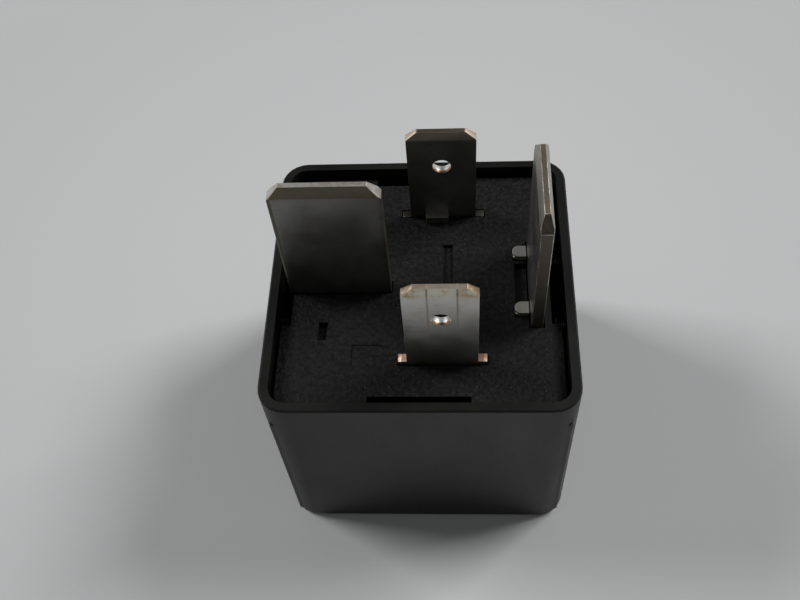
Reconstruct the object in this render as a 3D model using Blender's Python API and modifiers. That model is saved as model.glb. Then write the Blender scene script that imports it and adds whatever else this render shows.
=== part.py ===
"""Plug-in power relay with four blade terminals, standing on the closed end of its cover.

Lengths are in metres. +Z runs out along the terminals, and the origin is the centre of the cover's
closed end. The works (base plate, coil, yoke and terminals) slide out of the cover along +Z, and the
armature turns on the lower edge of the yoke.
"""

import math

import bmesh
import bpy
from mathutils import Matrix, Vector

MM = 0.001

# Clearances
GAP = 0.1 * MM                 # between pieces that touch, are pressed together or riveted
PLATE_GAP = 0.25 * MM          # between the base plate and the cover wall, all round

# Cover
COVER_WIDTH = 28.0 * MM
COVER_HEIGHT = 23.85 * MM
COVER_WALL = 0.9 * MM
COVER_FLOOR = 1.2 * MM
COVER_CORNER = 2.5 * MM
COVER_EASE = (0.45 * MM, 0.15 * MM)      # easing of the closed end's edge and of the rim
SUNK = 0.4 * MM                # how far a post, rib or catch reaches into the wall behind it
POST_SIZE = 2.2 * MM           # square posts in the corners that the base plate rests on
POST_CORNER = 0.4 * MM
RIB_DEPTH = 0.8 * MM           # ribs on the side walls that guide the base plate's notches
RIB_WIDTH = 1.1 * MM
RIB_INSET = 0.45 * MM          # from the end of a notch in to its rib
RIB_FOOT = 16.0 * MM
RIB_TOP = 21.4 * MM
CATCH_HALF = 3.0 * MM          # catches above the tongues' noses, on the front and back walls
CATCH_DEPTH = 0.25 * MM
CATCH_LOW = 17.5 * MM
CATCH_HIGH = 17.9 * MM
CHIP_RADIUS = 1.1 * MM         # the chip at one corner of the closed end: a bar that runs past it
CHIP_FROM = (-13.4 * MM, -15.0 * MM, -0.35 * MM)
CHIP_TO = (-10.4 * MM, -12.9 * MM, -0.3 * MM)

# Base plate
PLATE_TOP = 22.65 * MM
PLATE_THICK = 2.35 * MM
PLATE_BOTTOM = PLATE_TOP - PLATE_THICK
NOTCH_HALF = 4.55 * MM
NOTCH_EDGE = 11.9 * MM         # distance of the notches' inner edges from the middle
PLATE_CORNER = 1.3 * MM
PLATE_EASE = 0.12 * MM
TONGUE_HALF = 3.5 * MM         # clip tongues that hang from the front and back notches
TONGUE_DEPTHS = (0.8 * MM, 0.02 * MM)    # their inner and outer faces, in from the notch's edge
TONGUE_FOOT = 15.8 * MM
TONGUE_ROOT = 0.5 * MM         # how far a tongue reaches up into the plate
NOSE_WIDTH = 6.0 * MM
NOSE_ROOT = 0.3 * MM           # the nose on a tongue: in from the notch's edge, and out past it
NOSE_REACH = 0.7 * MM
NOSE_HEIGHTS = (15.9 * MM, 17.0 * MM, 17.4 * MM)
# Recesses in its face: middle and half size in X and in Y, and depth
RECESSES = {
    "vent": (-8.87 * MM, -5.16 * MM, 0.42 * MM, 0.96 * MM, 0.6 * MM),
    "spare_slot": (2.52 * MM, 1.21 * MM, 0.45 * MM, 3.25 * MM, 0.35 * MM),
    "mark_pad": (-4.75 * MM, -7.74 * MM, 1.4 * MM, 1.1 * MM, 0.1 * MM),
    "lug_pocket": (9.3 * MM, -0.04 * MM, 0.6 * MM, 2.2 * MM, 0.6 * MM),
}

# Terminals: the two wide blades carry the load, the two narrow ones feed the coil
LOAD_WIDTH = 9.5 * MM
LOAD_THICK = 1.2 * MM
LOAD_TIP = 37.5 * MM
LOAD_CORNER = (1.1 * MM, 1.3 * MM)       # cut off each tip corner, across and along the blade
LOAD_BEVEL = 1.1 * MM                    # length of the bevels at the tip
LOAD_EDGE = (0.45 * MM, 0.1 * MM)        # width and depth of the coined strips along the long edges
LOAD_END = 19.7 * MM                     # lower end of the load blades, under the base plate
COIL_WIDTH = 6.3 * MM
COIL_THICK = 0.8 * MM
COIL_TIP = 34.3 * MM
COIL_CORNER = (0.95 * MM, 0.85 * MM)
COIL_BEVEL = 0.9 * MM
TIP_THICK = 0.48 * MM          # thickness left at the tip of every blade
ROOT_STEP = 0.03 * MM          # a blade's root is that much thinner on each face
HOLE_RADIUS = 0.85 * MM
HOLE_DROP = 4.3 * MM           # from the tip to the middle of the locking hole
SHOULDER = 0.78 * MM           # how far a coil blade's shoulders stand out past its width
SHOULDER_HEIGHT = 1.8 * MM
SHOULDER_PROUD = (0.5 * MM, -0.02 * MM)  # above the base plate: front blade, back blade
TAIL_HALF = 0.8 * MM           # the coil blades' tails, which the wire ends are wound on
TAIL_TAPER = (19.6 * MM, 19.2 * MM)
TAIL_END = 15.2 * MM
STOP_REACH = (0.2 * MM, 1.3 * MM)        # the stop lug on a coil blade, out from its middle plane
STOP_X = (-1.65 * MM, 0.52 * MM)
STOP_HEIGHT = 1.0 * MM
STOP_CORNER = 0.15 * MM
SEAT = 0.15 * MM               # full thickness starts this far above the base plate
T30_X = -7.47 * MM
T30_Y = -0.4 * MM
T87_X = 10.55 * MM
T87_Y = -0.1 * MM
T85_Y = -8.3 * MM
T86_Y = 8.3 * MM
COIL_BLADE_X = 2.05 * MM
FLAG_X = -11.4 * MM            # terminal 30's flag: the braid is welded to its inner face
FLAG_BEND = 1.0 * MM
FLAG_START = (-9.4 * MM, -10.2 * MM)
FLAG_END_Y = -3.5 * MM
FLAG_FOOT = 9.8 * MM
FLAG_RELIEF_LOW = (-10.6 * MM, -4.0 * MM, 8.0 * MM)
FLAG_RELIEF_HIGH = (-8.0 * MM, T30_Y + LOAD_THICK, 17.6 * MM)
T87_TAIL = 14.0 * MM
T87_TAIL_IN = -0.7 * MM        # inner edge of terminal 87's tail, from the blade's middle

# Magnet: the coil stands under the base plate, the yoke is an L beside and over it
AXIS_X = 0.6 * MM
AXIS_Y = 0.4 * MM
YOKE_OUT = -8.9 * MM           # outer face of the long leg
YOKE_THICK = 1.4 * MM
YOKE_TOP = 19.2 * MM
YOKE_FOOT = 5.15 * MM          # lower end of the long leg, where the armature bears
YOKE_HALF = 6.0 * MM
YOKE_END = 6.4 * MM            # end of the short leg, past the coil's axis
YOKE_BEND = 1.3 * MM
YOKE_HOLE = 2.1 * MM
TAB_Y = 4.6 * MM               # two tabs on the short leg that stand in the base plate
TAB_X = (-6.0 * MM, -3.0 * MM)
TAB_HALF = 0.8 * MM
TAB_TOP = 21.1 * MM
RIVET_BORE = 0.8 * MM          # radius of the holes for the spring's four rivets
HINGE_RIVET_Y = 3.6 * MM
HINGE_RIVET_Z = 12.5 * MM
HINGE_RIVET_HEAD = [(0.0, 0.5 * MM), (0.6 * MM, 0.46 * MM), (1.0 * MM, 0.28 * MM), (1.15 * MM, 0.0)]
HINGE_RIVET_SHANK = 1.85 * MM
ARMATURE_RIVET_X = -4.9 * MM
ARMATURE_RIVET_Y = 2.6 * MM
FLANGE_RADIUS = 7.0 * MM
FLANGE_THICK = 0.8 * MM
BOBBIN_LOW = 6.0 * MM
BOBBIN_HIGH = 17.7 * MM
TUBE_RADIUS = 3.6 * MM
CORE_RADIUS = 2.75 * MM
POLE_RADIUS = 4.5 * MM
POLE_FACE = 5.12 * MM
POLE_SHOE = 5.9 * MM           # upper side of the pole shoe
POLE_EASE = 0.2 * MM
NECK_RADIUS = 2.0 * MM         # the core's neck through the yoke, and its staked head
STAKE_RADIUS = 2.6 * MM
STAKE_TOP = 19.85 * MM
WINDING_RADIUS = 6.2 * MM
TAPE_THICK = 0.15 * MM
TAPE_GAP = 0.05 * MM
TAPE_LOW = 8.2 * MM
TAPE_HIGH = 15.4 * MM
HOOK_Y = (4.0 * MM, 5.8 * MM)  # the bobbin's two hooks, which stop the open armature
HOOK_X = (4.2 * MM, 7.2 * MM, 8.2 * MM)
HOOK_Z = (6.75 * MM, 6.05 * MM, 2.8 * MM, 2.1 * MM)
HOOK_TOE = (6.2 * MM, 6.5 * MM, 2.45 * MM)   # end, end of its underside, and height of its slope
WIRE_RADIUS = 0.13 * MM
WRAP_TOP = 16.9 * MM           # the turns of a wire end round its coil blade's tail
WRAP_TURNS = 3
WRAP_PITCH = 0.34 * MM
LEAD_REACH = 0.9 * MM          # from the last turn to the winding, along X
LEAD_BOW = (0.5 * MM, 0.7 * MM, 0.15 * MM)   # the way's middle point, from the last turn

# Armature, drawn closed against the pole and then opened about the yoke's edge
HINGE = Vector((YOKE_OUT, AXIS_Y, YOKE_FOOT - 0.05 * MM))
OPEN_ANGLE = math.radians(3.0)
ARMATURE_TOP = 5.05 * MM
ARMATURE_THICK = 1.3 * MM
ARMATURE_END = 6.9 * MM
ARMATURE_HALF = 5.6 * MM
ARMATURE_WAIST = 5.0 * MM      # half width at the hinge
ARMATURE_EARS = (4.4 * MM, 5.2 * MM)     # where it widens to its full width
ARMATURE_CORNER = 0.4 * MM
SPRING_THICK = 0.3 * MM
SPRING_HALF = 3.6 * MM
LEG_HALF = 4.8 * MM            # half width of the spring's leg on the yoke
LEG_TOP = 15.0 * MM
LEG_FOOT = 7.0 * MM
SPRING_END = 12.4 * MM
LEAF_NARROW = 2.1 * MM         # half width where the leaf carries the contact
LEAF_TAPER = (8.2 * MM, 9.2 * MM)
LEAF_TIP = 1.3 * MM            # length of the tip that tapers
LEAF_TIP_IN = 1.6 * MM         # taper of each edge there
BRAID_THICK = 0.58 * MM
BRAID_Y = (-3.4 * MM, -1.3 * MM)
BRAID_PATH = [                 # (x, z) from the flag, round the knee, to the leaf
    Vector((-10.3 * MM, 13.2 * MM)),
    Vector((-10.3 * MM, 11.0 * MM)),
    Vector((-10.35 * MM, 9.0 * MM)),
    Vector((-10.75 * MM, 7.4 * MM)),
    Vector((-11.15 * MM, 5.6 * MM)),
    Vector((-10.75 * MM, 3.6 * MM)),
    Vector((-9.6 * MM, 2.4 * MM)),
    Vector((-8.2 * MM, 2.25 * MM)),
    Vector((-6.4 * MM, 2.55 * MM)),
]
CONTACT_X = 10.9 * MM
CONTACT_RADIUS = 1.5 * MM
CONTACT_SHANK = 0.6 * MM
CONTACT_BORE = 0.7 * MM
FIXED_FACE = 4.58 * MM
MOVING_FACE = 4.5 * MM         # in the closed pose
KNEE = Vector((-8.6 * MM, 4.9 * MM))
KNEE_RADIUS = 1.4 * MM
KNEE_MIDDLE = 180              # degrees round the knee where the spring is divided
KNEE_SPLIT = 4
SPRING_Z = ARMATURE_TOP - ARMATURE_THICK - GAP - SPRING_THICK / 2

# Fixed contact carrier
CARRIER_IN = 8.65 * MM
CARRIER_THICK = 1.2 * MM
CARRIER_FOOT = 5.5 * MM
CARRIER_BEND = 0.9 * MM
CARRIER_NECK = 8.5 * MM        # the carrier is narrower below this height
CARRIER_NECK_Y = (-1.7 * MM, 2.5 * MM)
LUG_Y = (-3.19 * MM, 3.11 * MM)
LUG_WIDTH = 1.0 * MM
LUG_THICK = 1.18 * MM
LUG_TOP = 23.35 * MM
LUG_HEAD = 8.55 * MM           # inner end of the lugs' staked heads
LUG_RADIUS = 0.62 * MM
LUG_EASE = 0.2 * MM

parts = None
cutters = None


def clear_scene():
    for old in list(bpy.data.objects):
        bpy.data.objects.remove(old)


def collection(name):
    made = bpy.data.collections.new(name)
    bpy.context.scene.collection.children.link(made)
    return made


def finish(name, colour, roughness, metallic):
    """A plain Principled material."""
    made = bpy.data.materials.new(name)
    made.use_nodes = True
    shader = made.node_tree.nodes["Principled BSDF"]
    shader.inputs["Base Color"].default_value = (*colour, 1.0)
    shader.inputs["Roughness"].default_value = roughness
    shader.inputs["Metallic"].default_value = metallic
    return made


def place(name, mesh, material=None, smooth=False):
    """Link a mesh as a part when it has a material, and as a cutter when it has none."""
    made = bpy.data.objects.new(name, mesh)
    if smooth:
        mesh.shade_smooth()
        mesh.set_sharp_from_angle(angle=math.radians(35))
    if material is None:
        cutters.objects.link(made)
        made.hide_render = True
        made.display_type = "WIRE"
    else:
        mesh.materials.append(material)
        parts.objects.link(made)
    return made


def from_bmesh(name, bm, material=None, smooth=False):
    mesh = bpy.data.meshes.new(name)
    bm.to_mesh(mesh)
    bm.free()
    return place(name, mesh, material, smooth)


def box_bmesh(low, high):
    bm = bmesh.new()
    bmesh.ops.create_cube(bm, size=1.0)
    low, high = Vector(low), Vector(high)
    bmesh.ops.scale(bm, vec=high - low, verts=bm.verts)
    bmesh.ops.translate(bm, vec=(low + high) / 2, verts=bm.verts)
    return bm


def box(name, low, high):
    return from_bmesh(name, box_bmesh(low, high))


def bevel_edges(bm, chosen, width, segments):
    bmesh.ops.bevel(bm, geom=chosen, offset=width, segments=segments, profile=0.5, affect="EDGES")


def level_edges(bm, height):
    """Edges that lie at one height."""
    return [e for e in bm.edges if all(abs(v.co.z - height) < 1e-6 for v in e.verts)]


def round_box(name, low, high, corner, segments, material=None, foot=0.0, head=0.0):
    """A box with rounded upright edges, and optionally eased lower and upper edges."""
    bm = box_bmesh(low, high)
    upright = [e for e in bm.edges if abs(e.verts[0].co.z - e.verts[1].co.z) > 1e-6]
    bevel_edges(bm, upright, corner, segments)
    if foot:
        bevel_edges(bm, level_edges(bm, low[2]), foot, 2)
    if head:
        bevel_edges(bm, level_edges(bm, high[2]), head, 1)
    return from_bmesh(name, bm, material, smooth=material is not None)


def rod(name, radius, start, end, segments=24):
    """A round bar between two points."""
    start, end = Vector(start), Vector(end)
    along = end - start
    bm = bmesh.new()
    bmesh.ops.create_cone(
        bm, cap_ends=True, segments=segments, radius1=radius, radius2=radius, depth=along.length
    )
    turn = along.to_track_quat("Z", "Y").to_matrix().to_4x4()
    bmesh.ops.transform(bm, matrix=Matrix.Translation((start + end) / 2) @ turn, verts=bm.verts)
    return from_bmesh(name, bm)


def turned(name, profile, centre, material, steps=32, ring=False):
    """A profile of (radius, height) points, from the top down its outer side, turned about Z."""
    mesh = bpy.data.meshes.new(name)
    edges = [(i, i + 1) for i in range(len(profile) - 1)]
    if ring:
        edges.append((len(profile) - 1, 0))
    mesh.from_pydata([(radius, 0.0, height) for radius, height in profile], edges, [])
    made = place(name, mesh, material)
    made.location = centre
    screw = made.modifiers.new("turn", "SCREW")
    screw.steps = steps
    screw.render_steps = steps
    screw.use_merge_vertices = True
    screw.merge_threshold = 0.00001
    screw.use_smooth_shade = True
    return made


def mesh_of_curve(name, curve, matrix, material, smooth):
    """Turn a curve into a welded mesh object and drop the curve."""
    guide = bpy.data.objects.new(name + "_curve", curve)
    cutters.objects.link(guide)
    guide.matrix_world = matrix
    bpy.context.view_layer.update()
    evaluated = guide.evaluated_get(bpy.context.evaluated_depsgraph_get())
    mesh = bpy.data.meshes.new_from_object(evaluated)
    mesh.name = name
    mesh.materials.clear()
    bm = bmesh.new()
    bm.from_mesh(mesh)
    bmesh.ops.remove_doubles(bm, verts=bm.verts, dist=0.000001)
    bm.to_mesh(mesh)
    bm.free()
    made = place(name, mesh, material, smooth)
    made.matrix_world = matrix
    bpy.data.objects.remove(guide)
    return made


# An outline's own X and Y, with its thickness along Z, laid into the frame
FLAT = Matrix.Identity(4)                                    # outline in XY
SIDE = Matrix.Rotation(math.radians(90), 4, "X")             # outline in XZ, thickness along Y


def outline(name, points, thickness, matrix, material=None, smooth=False):
    """A flat outline made solid: a filled 2D curve, extruded both ways."""
    curve = bpy.data.curves.new(name, "CURVE")
    curve.dimensions = "2D"
    curve.fill_mode = "BOTH"
    curve.extrude = thickness / 2
    curve.resolution_u = 1
    curve.render_resolution_u = 0
    spline = curve.splines.new("POLY")
    spline.points.add(len(points) - 1)
    for point, (x, y) in zip(spline.points, points):
        point.co = (x, y, 0.0, 1.0)
    spline.use_cyclic_u = True
    return mesh_of_curve(name, curve, matrix, material, smooth)


def side_outline(name, points, y_low, y_high, material=None, smooth=False):
    """An outline of (x, z) points between two Y planes."""
    matrix = Matrix.Translation((0.0, (y_low + y_high) / 2, 0.0)) @ SIDE
    return outline(name, points, y_high - y_low, matrix, material, smooth)


def top_outline(name, points, z_low, z_high, material=None, smooth=False):
    """An outline of (x, y) points between two heights."""
    matrix = Matrix.Translation((0.0, 0.0, (z_low + z_high) / 2)) @ FLAT
    return outline(name, points, z_high - z_low, matrix, material, smooth)


def join(target, other, operation="UNION"):
    modifier = target.modifiers.new(operation.lower(), "BOOLEAN")
    modifier.operation = operation
    modifier.solver = "EXACT"
    modifier.object = other


def cut(target, *others):
    for other in others:
        join(target, other, "DIFFERENCE")


def arc(centre, radius, start, end, steps):
    """Points on an arc, angles in degrees."""
    found = []
    for i in range(steps + 1):
        angle = math.radians(start + (end - start) * i / steps)
        found.append(Vector((centre[0] + radius * math.cos(angle), centre[1] + radius * math.sin(angle))))
    return found


def strip(path, thickness):
    """The closed outline of a strip of sheet that follows a path."""
    left, right = [], []
    for i, point in enumerate(path):
        before = path[max(i - 1, 0)]
        after = path[min(i + 1, len(path) - 1)]
        back = (point - before).normalized() if i else (after - point).normalized()
        ahead = (after - point).normalized() if i < len(path) - 1 else back
        along = (back + ahead).normalized()
        normal = Vector((-along.y, along.x))
        reach = thickness / 2 / max(along.dot(back), 0.5)
        left.append(point + normal * reach)
        right.append(point - normal * reach)
    return left + right[::-1]


def smooth_path(anchors, steps):
    """A Catmull-Rom curve through the anchors."""
    ends = [anchors[0] * 2 - anchors[1]] + anchors + [anchors[-1] * 2 - anchors[-2]]
    found = []
    for i in range(1, len(ends) - 2):
        a, b, c, d = ends[i - 1:i + 3]
        for k in range(steps):
            t = k / steps
            square, cube = (2 * a - 5 * b + 4 * c - d) * t**2, (3 * b - a - 3 * c + d) * t**3
            found.append(0.5 * (2 * b + (c - a) * t + square + cube))
    return found + [anchors[-1]]


def plane_off(bm, point, normal):
    """Cut away all that lies on the normal's side of a plane, and close the cut."""
    geometry = bm.verts[:] + bm.edges[:] + bm.faces[:]
    bmesh.ops.bisect_plane(bm, geom=geometry, plane_co=point, plane_no=normal, clear_outer=True)
    bmesh.ops.holes_fill(bm, edges=[e for e in bm.edges if e.is_boundary], sides=0)


def blade(name, size, tip, corner, bevel, edge, sides, seat, matrix, material):
    """A blade cut from sheet: bevelled on both faces at its tip, with the tip's corners cut off.

    size is its width and thickness. sides holds the outline below the base plate's face for the right
    and for the left side, each as (half width, height) points from the top down. edge is the width and
    depth of the strips coined along the long edges, or None. Below seat the sheet is a touch thinner.
    matrix lays the blade's own X, Z plane into the frame.
    """
    half, skin = size[0] / 2, size[1] / 2
    right, left = sides
    loop = [(half, tip)] + right + [(-x, z) for x, z in reversed(left)] + [(-half, tip)]
    bm = bmesh.new()
    front = bm.faces.new([bm.verts.new((x, -skin, z)) for x, z in loop])
    back = bmesh.ops.extrude_face_region(bm, geom=[front])["geom"]
    moved = [item for item in back if isinstance(item, bmesh.types.BMVert)]
    bmesh.ops.translate(bm, vec=(0.0, 2 * skin, 0.0), verts=moved)
    bmesh.ops.recalc_face_normals(bm, faces=bm.faces)
    for sign in (-1, 1):
        plane_off(bm, (0.0, sign * TIP_THICK / 2, tip), (0.0, sign * bevel, skin - TIP_THICK / 2))
        plane_off(bm, (sign * half, 0.0, tip - corner[1]), (sign * corner[1], 0.0, corner[0]))
        for face in (-1, 1):
            if edge:
                start = (sign * (half - edge[0]), face * skin, 0.0)
                plane_off(bm, start, (sign * edge[1], face * edge[0], 0.0))
    bmesh.ops.recalc_face_normals(bm, faces=bm.faces)
    bmesh.ops.transform(bm, matrix=matrix, verts=bm.verts)
    made = from_bmesh(name, bm, material)
    for face in (-1, 1):
        near, far = sorted((face * (skin - ROOT_STEP), face * (skin + MM)))
        step = box(f"{name}_step_{face}", (-2 * half, near, 0.0), (2 * half, far, seat))
        step.matrix_world = matrix
        cut(made, step)
    return made


def make_cover(material):
    """A square cup with rounded corners, guide ribs and corner posts, a chip at one lower corner."""
    half = COVER_WIDTH / 2
    inner = half - COVER_WALL
    low, high = (-half, -half, 0.0), (half, half, COVER_HEIGHT)
    cover = round_box("cover", low, high, COVER_CORNER, 6, material, *COVER_EASE)
    low, high = (-inner, -inner, COVER_FLOOR), (inner, inner, COVER_HEIGHT + MM)
    cut(cover, round_box("cover_hollow", low, high, COVER_CORNER - COVER_WALL, 5))
    for sy in (-1, 1):
        for sx in (-1, 1):
            join(cover, cover_post(sx, sy, inner))
            join(cover, cover_rib(sx, sy, inner))
        near, far = sorted((sy * (inner - CATCH_DEPTH), sy * (inner + SUNK)))
        join(cover, box(f"cover_catch_{sy}", (-CATCH_HALF, near, CATCH_LOW), (CATCH_HALF, far, CATCH_HIGH)))
    cut(cover, rod("cover_chip", CHIP_RADIUS, CHIP_FROM, CHIP_TO, 10))
    return cover


def cover_post(sx, sy, inner):
    """A post in one corner of the cover, up to the base plate."""
    x_low, x_high = sorted((sx * (inner - POST_SIZE), sx * (inner + SUNK)))
    y_low, y_high = sorted((sy * (inner - POST_SIZE), sy * (inner + SUNK)))
    low, high = (x_low, y_low, COVER_FLOOR - SUNK), (x_high, y_high, PLATE_BOTTOM - GAP)
    return round_box(f"cover_post_{sx}_{sy}", low, high, POST_CORNER, 2)


def cover_rib(sx, sy, inner):
    """A rib on a side wall that stands in one end of a notch."""
    x_low, x_high = sorted((sx * (inner - RIB_DEPTH), sx * (inner + SUNK)))
    middle = sy * (NOTCH_HALF - RIB_INSET - RIB_WIDTH / 2)
    low = (x_low, middle - RIB_WIDTH / 2, RIB_FOOT)
    return box(f"cover_rib_{sx}_{sy}", low, (x_high, middle + RIB_WIDTH / 2, RIB_TOP))


def blade_slot(name, x, y, half_x, half_y, low=PLATE_BOTTOM - MM):
    """A cutter for a slot through the base plate."""
    return box(name, (x - half_x, y - half_y, low), (x + half_x, y + half_y, PLATE_TOP + MM))


def make_base_plate(material):
    """The moulded plate that holds the terminals, with a notch in each side and two clip tongues."""
    half = COVER_WIDTH / 2 - COVER_WALL - PLATE_GAP
    low, high = (-half, -half, PLATE_BOTTOM), (half, half, PLATE_TOP)
    plate = round_box("base_plate", low, high, PLATE_CORNER, 4, material, 0.0, PLATE_EASE)
    wide = half + MM
    low, high = PLATE_BOTTOM - MM, PLATE_TOP + MM
    for sign in (-1, 1):
        near, far = sorted((sign * NOTCH_EDGE, sign * wide))
        cut(plate, box(f"notch_x_{sign}", (near, -NOTCH_HALF, low), (far, NOTCH_HALF, high)))
        cut(plate, box(f"notch_y_{sign}", (-NOTCH_HALF, near, low), (NOTCH_HALF, far, high)))
        cut_coil_pocket(plate, sign)
        join_tongue(plate, sign)
        cut(plate, yoke_tab_slot(sign))
    cut(plate, blade_slot("slot_30", T30_X, T30_Y, LOAD_WIDTH / 2 + GAP, LOAD_THICK / 2 + GAP))
    cut(plate, blade_slot("slot_87", T87_X, T87_Y, LOAD_THICK / 2 + GAP, LOAD_WIDTH / 2 + GAP))
    for y in LUG_Y:
        middle = CARRIER_IN + LUG_THICK / 2
        cut(plate, blade_slot(f"slot_lug_{y:.4f}", middle, y, LUG_THICK / 2 + GAP, LUG_WIDTH / 2 + GAP))
    for name, (x, y, half_x, half_y, depth) in RECESSES.items():
        cut(plate, blade_slot(name, x, y, half_x, half_y, PLATE_TOP - depth))
    return plate


def join_tongue(plate, sign):
    """A clip tongue that hangs from a notch, with the sloping nose on its outer face."""
    inner, outer = TONGUE_DEPTHS
    near, far = sorted((sign * (NOTCH_EDGE - inner), sign * (NOTCH_EDGE - outer)))
    low, high = (-TONGUE_HALF, near, TONGUE_FOOT), (TONGUE_HALF, far, PLATE_BOTTOM + TONGUE_ROOT)
    join(plate, box(f"tongue_{sign}", low, high))
    root, tip = sign * (NOTCH_EDGE - NOSE_ROOT), sign * (NOTCH_EDGE + NOSE_REACH)
    foot, widest, top = NOSE_HEIGHTS
    nose = [(root, foot), (tip, widest), (tip, top), (root, top)]
    turn = Matrix.Rotation(math.radians(90), 4, "Z") @ SIDE
    join(plate, outline(f"nose_{sign}", nose, NOSE_WIDTH, turn))


def yoke_tab_slot(sign):
    """A blind slot in the plate's underside for one of the yoke's tabs."""
    y = AXIS_Y + sign * TAB_Y
    half = TAB_HALF + GAP
    low = (TAB_X[0] - GAP, y - half, PLATE_BOTTOM - MM)
    return box(f"tab_slot_{sign}", low, (TAB_X[1] + GAP, y + half, PLATE_BOTTOM + MM))


def cut_coil_pocket(plate, sign):
    """The slot for a coil terminal: a wide pocket for its shoulders above a narrow way through."""
    y = T86_Y if sign > 0 else T85_Y
    thick = COIL_THICK / 2 + GAP
    way = COIL_WIDTH / 2 + GAP
    proud = SHOULDER_PROUD[1] if sign > 0 else SHOULDER_PROUD[0]
    floor = PLATE_TOP + proud - SHOULDER_HEIGHT - GAP
    cut(plate, blade_slot(f"coil_way_{sign}", COIL_BLADE_X, y, way, thick))
    cut(plate, blade_slot(f"coil_pocket_{sign}", COIL_BLADE_X, y, way + SHOULDER, thick, floor))


def make_coil_terminal(name, y, inward, proud, material):
    """A 6.3 mm blade with shoulders, a locking hole, a stop lug and a narrow tail for the coil wire."""
    half = COIL_WIDTH / 2
    shoulder = half + SHOULDER
    top = PLATE_TOP + proud
    under = top - SHOULDER_HEIGHT
    side = [(half, top), (shoulder, top), (shoulder, under), (half, under)]
    side += [(half, TAIL_TAPER[0]), (TAIL_HALF, TAIL_TAPER[1]), (TAIL_HALF, TAIL_END)]
    size = (COIL_WIDTH, COIL_THICK)
    matrix = Matrix.Translation((COIL_BLADE_X, y, 0.0))
    seat = PLATE_TOP + SEAT
    made = blade(name, size, COIL_TIP, COIL_CORNER, COIL_BEVEL, None, (side, side), seat, matrix, material)
    height = COIL_TIP - HOLE_DROP
    start, end = (COIL_BLADE_X, y - COIL_THICK, height), (COIL_BLADE_X, y + COIL_THICK, height)
    cut(made, rod(name + "_hole", HOLE_RADIUS, start, end))
    near, far = sorted(y + inward * reach for reach in STOP_REACH)
    low = (COIL_BLADE_X + STOP_X[0], near, PLATE_TOP + GAP)
    high = (COIL_BLADE_X + STOP_X[1], far, PLATE_TOP + STOP_HEIGHT)
    join(made, round_box(name + "_lug", low, high, STOP_CORNER, 2))
    return made


def load_blade(name, sides, seat, matrix, material):
    """A wide blade with coined edges."""
    size = (LOAD_WIDTH, LOAD_THICK)
    return blade(name, size, LOAD_TIP, LOAD_CORNER, LOAD_BEVEL, LOAD_EDGE, sides, seat, matrix, material)


def make_terminal_30(material):
    """The load terminal beside the yoke: its lower end turns into an upright flag for the braid."""
    side = [(LOAD_WIDTH / 2, LOAD_END)]
    matrix = Matrix.Translation((T30_X, T30_Y, 0.0))
    made = load_blade("terminal_30", (side, side), PLATE_TOP + SEAT, matrix, material)
    path = [Vector((x, T30_Y)) for x in FLAG_START]
    path += arc((FLAG_X + FLAG_BEND, T30_Y - FLAG_BEND), FLAG_BEND, 95, 180, 5)
    path.append(Vector((FLAG_X, FLAG_END_Y)))
    join(made, top_outline("flag", strip(path, LOAD_THICK), FLAG_FOOT, LOAD_END + 0.3 * MM))
    cut(made, box("flag_relief", FLAG_RELIEF_LOW, FLAG_RELIEF_HIGH))
    return made


def make_terminal_87(material):
    """The load terminal beside the fixed contact carrier, with a tail that is welded to it."""
    half = LOAD_WIDTH / 2
    right = [(half, LOAD_END)]
    left = [(half, T87_TAIL), (T87_TAIL_IN, T87_TAIL), (T87_TAIL_IN, LOAD_END)]
    matrix = Matrix.Translation((T87_X, T87_Y, 0.0)) @ Matrix.Rotation(math.radians(90), 4, "Z")
    return load_blade("terminal_87", (right, left), LUG_TOP + GAP, matrix, material)


def make_carrier(material):
    """The bent strip that holds the fixed contact, staked through the base plate by two lugs."""
    middle = CARRIER_IN + CARRIER_THICK / 2
    foot_z = CARRIER_FOOT + CARRIER_THICK / 2
    bend = CARRIER_BEND
    path = [Vector((middle, PLATE_BOTTOM - 0.3 * MM)), Vector((middle, foot_z + bend))]
    path += arc((middle + bend, foot_z + bend), bend, 180, 270, 6)[1:]
    path.append(Vector((SPRING_END - 0.1 * MM, foot_z)))
    front, back = LUG_Y[0] - LUG_WIDTH / 2, LUG_Y[1] + LUG_WIDTH / 2
    carrier = side_outline("fixed_contact_carrier", strip(path, CARRIER_THICK), front, back, material)
    x_low, x_high = CARRIER_IN - MM, SPRING_END + MM
    neck_front, neck_back = CARRIER_NECK_Y
    for side, y_from, y_to in (("front", front - MM, neck_front), ("back", neck_back, back + MM)):
        low, high = (x_low, y_from, CARRIER_FOOT - MM), (x_high, y_to, CARRIER_NECK)
        cut(carrier, box(f"carrier_relief_{side}", low, high))
    for y in LUG_Y:
        low = (CARRIER_IN, y - LUG_WIDTH / 2, PLATE_BOTTOM - MM)
        high = (CARRIER_IN + LUG_THICK, y + LUG_WIDTH / 2, PLATE_TOP + 0.4 * MM)
        join(carrier, box(f"lug_{y:.4f}", low, high))
        join(carrier, lug_head(y))
    start = (CONTACT_X, AXIS_Y, CARRIER_FOOT - MM)
    end = (CONTACT_X, AXIS_Y, CARRIER_FOOT + CARRIER_THICK + MM)
    cut(carrier, rod("carrier_bore", CONTACT_BORE, start, end, 20))
    return carrier


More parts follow.
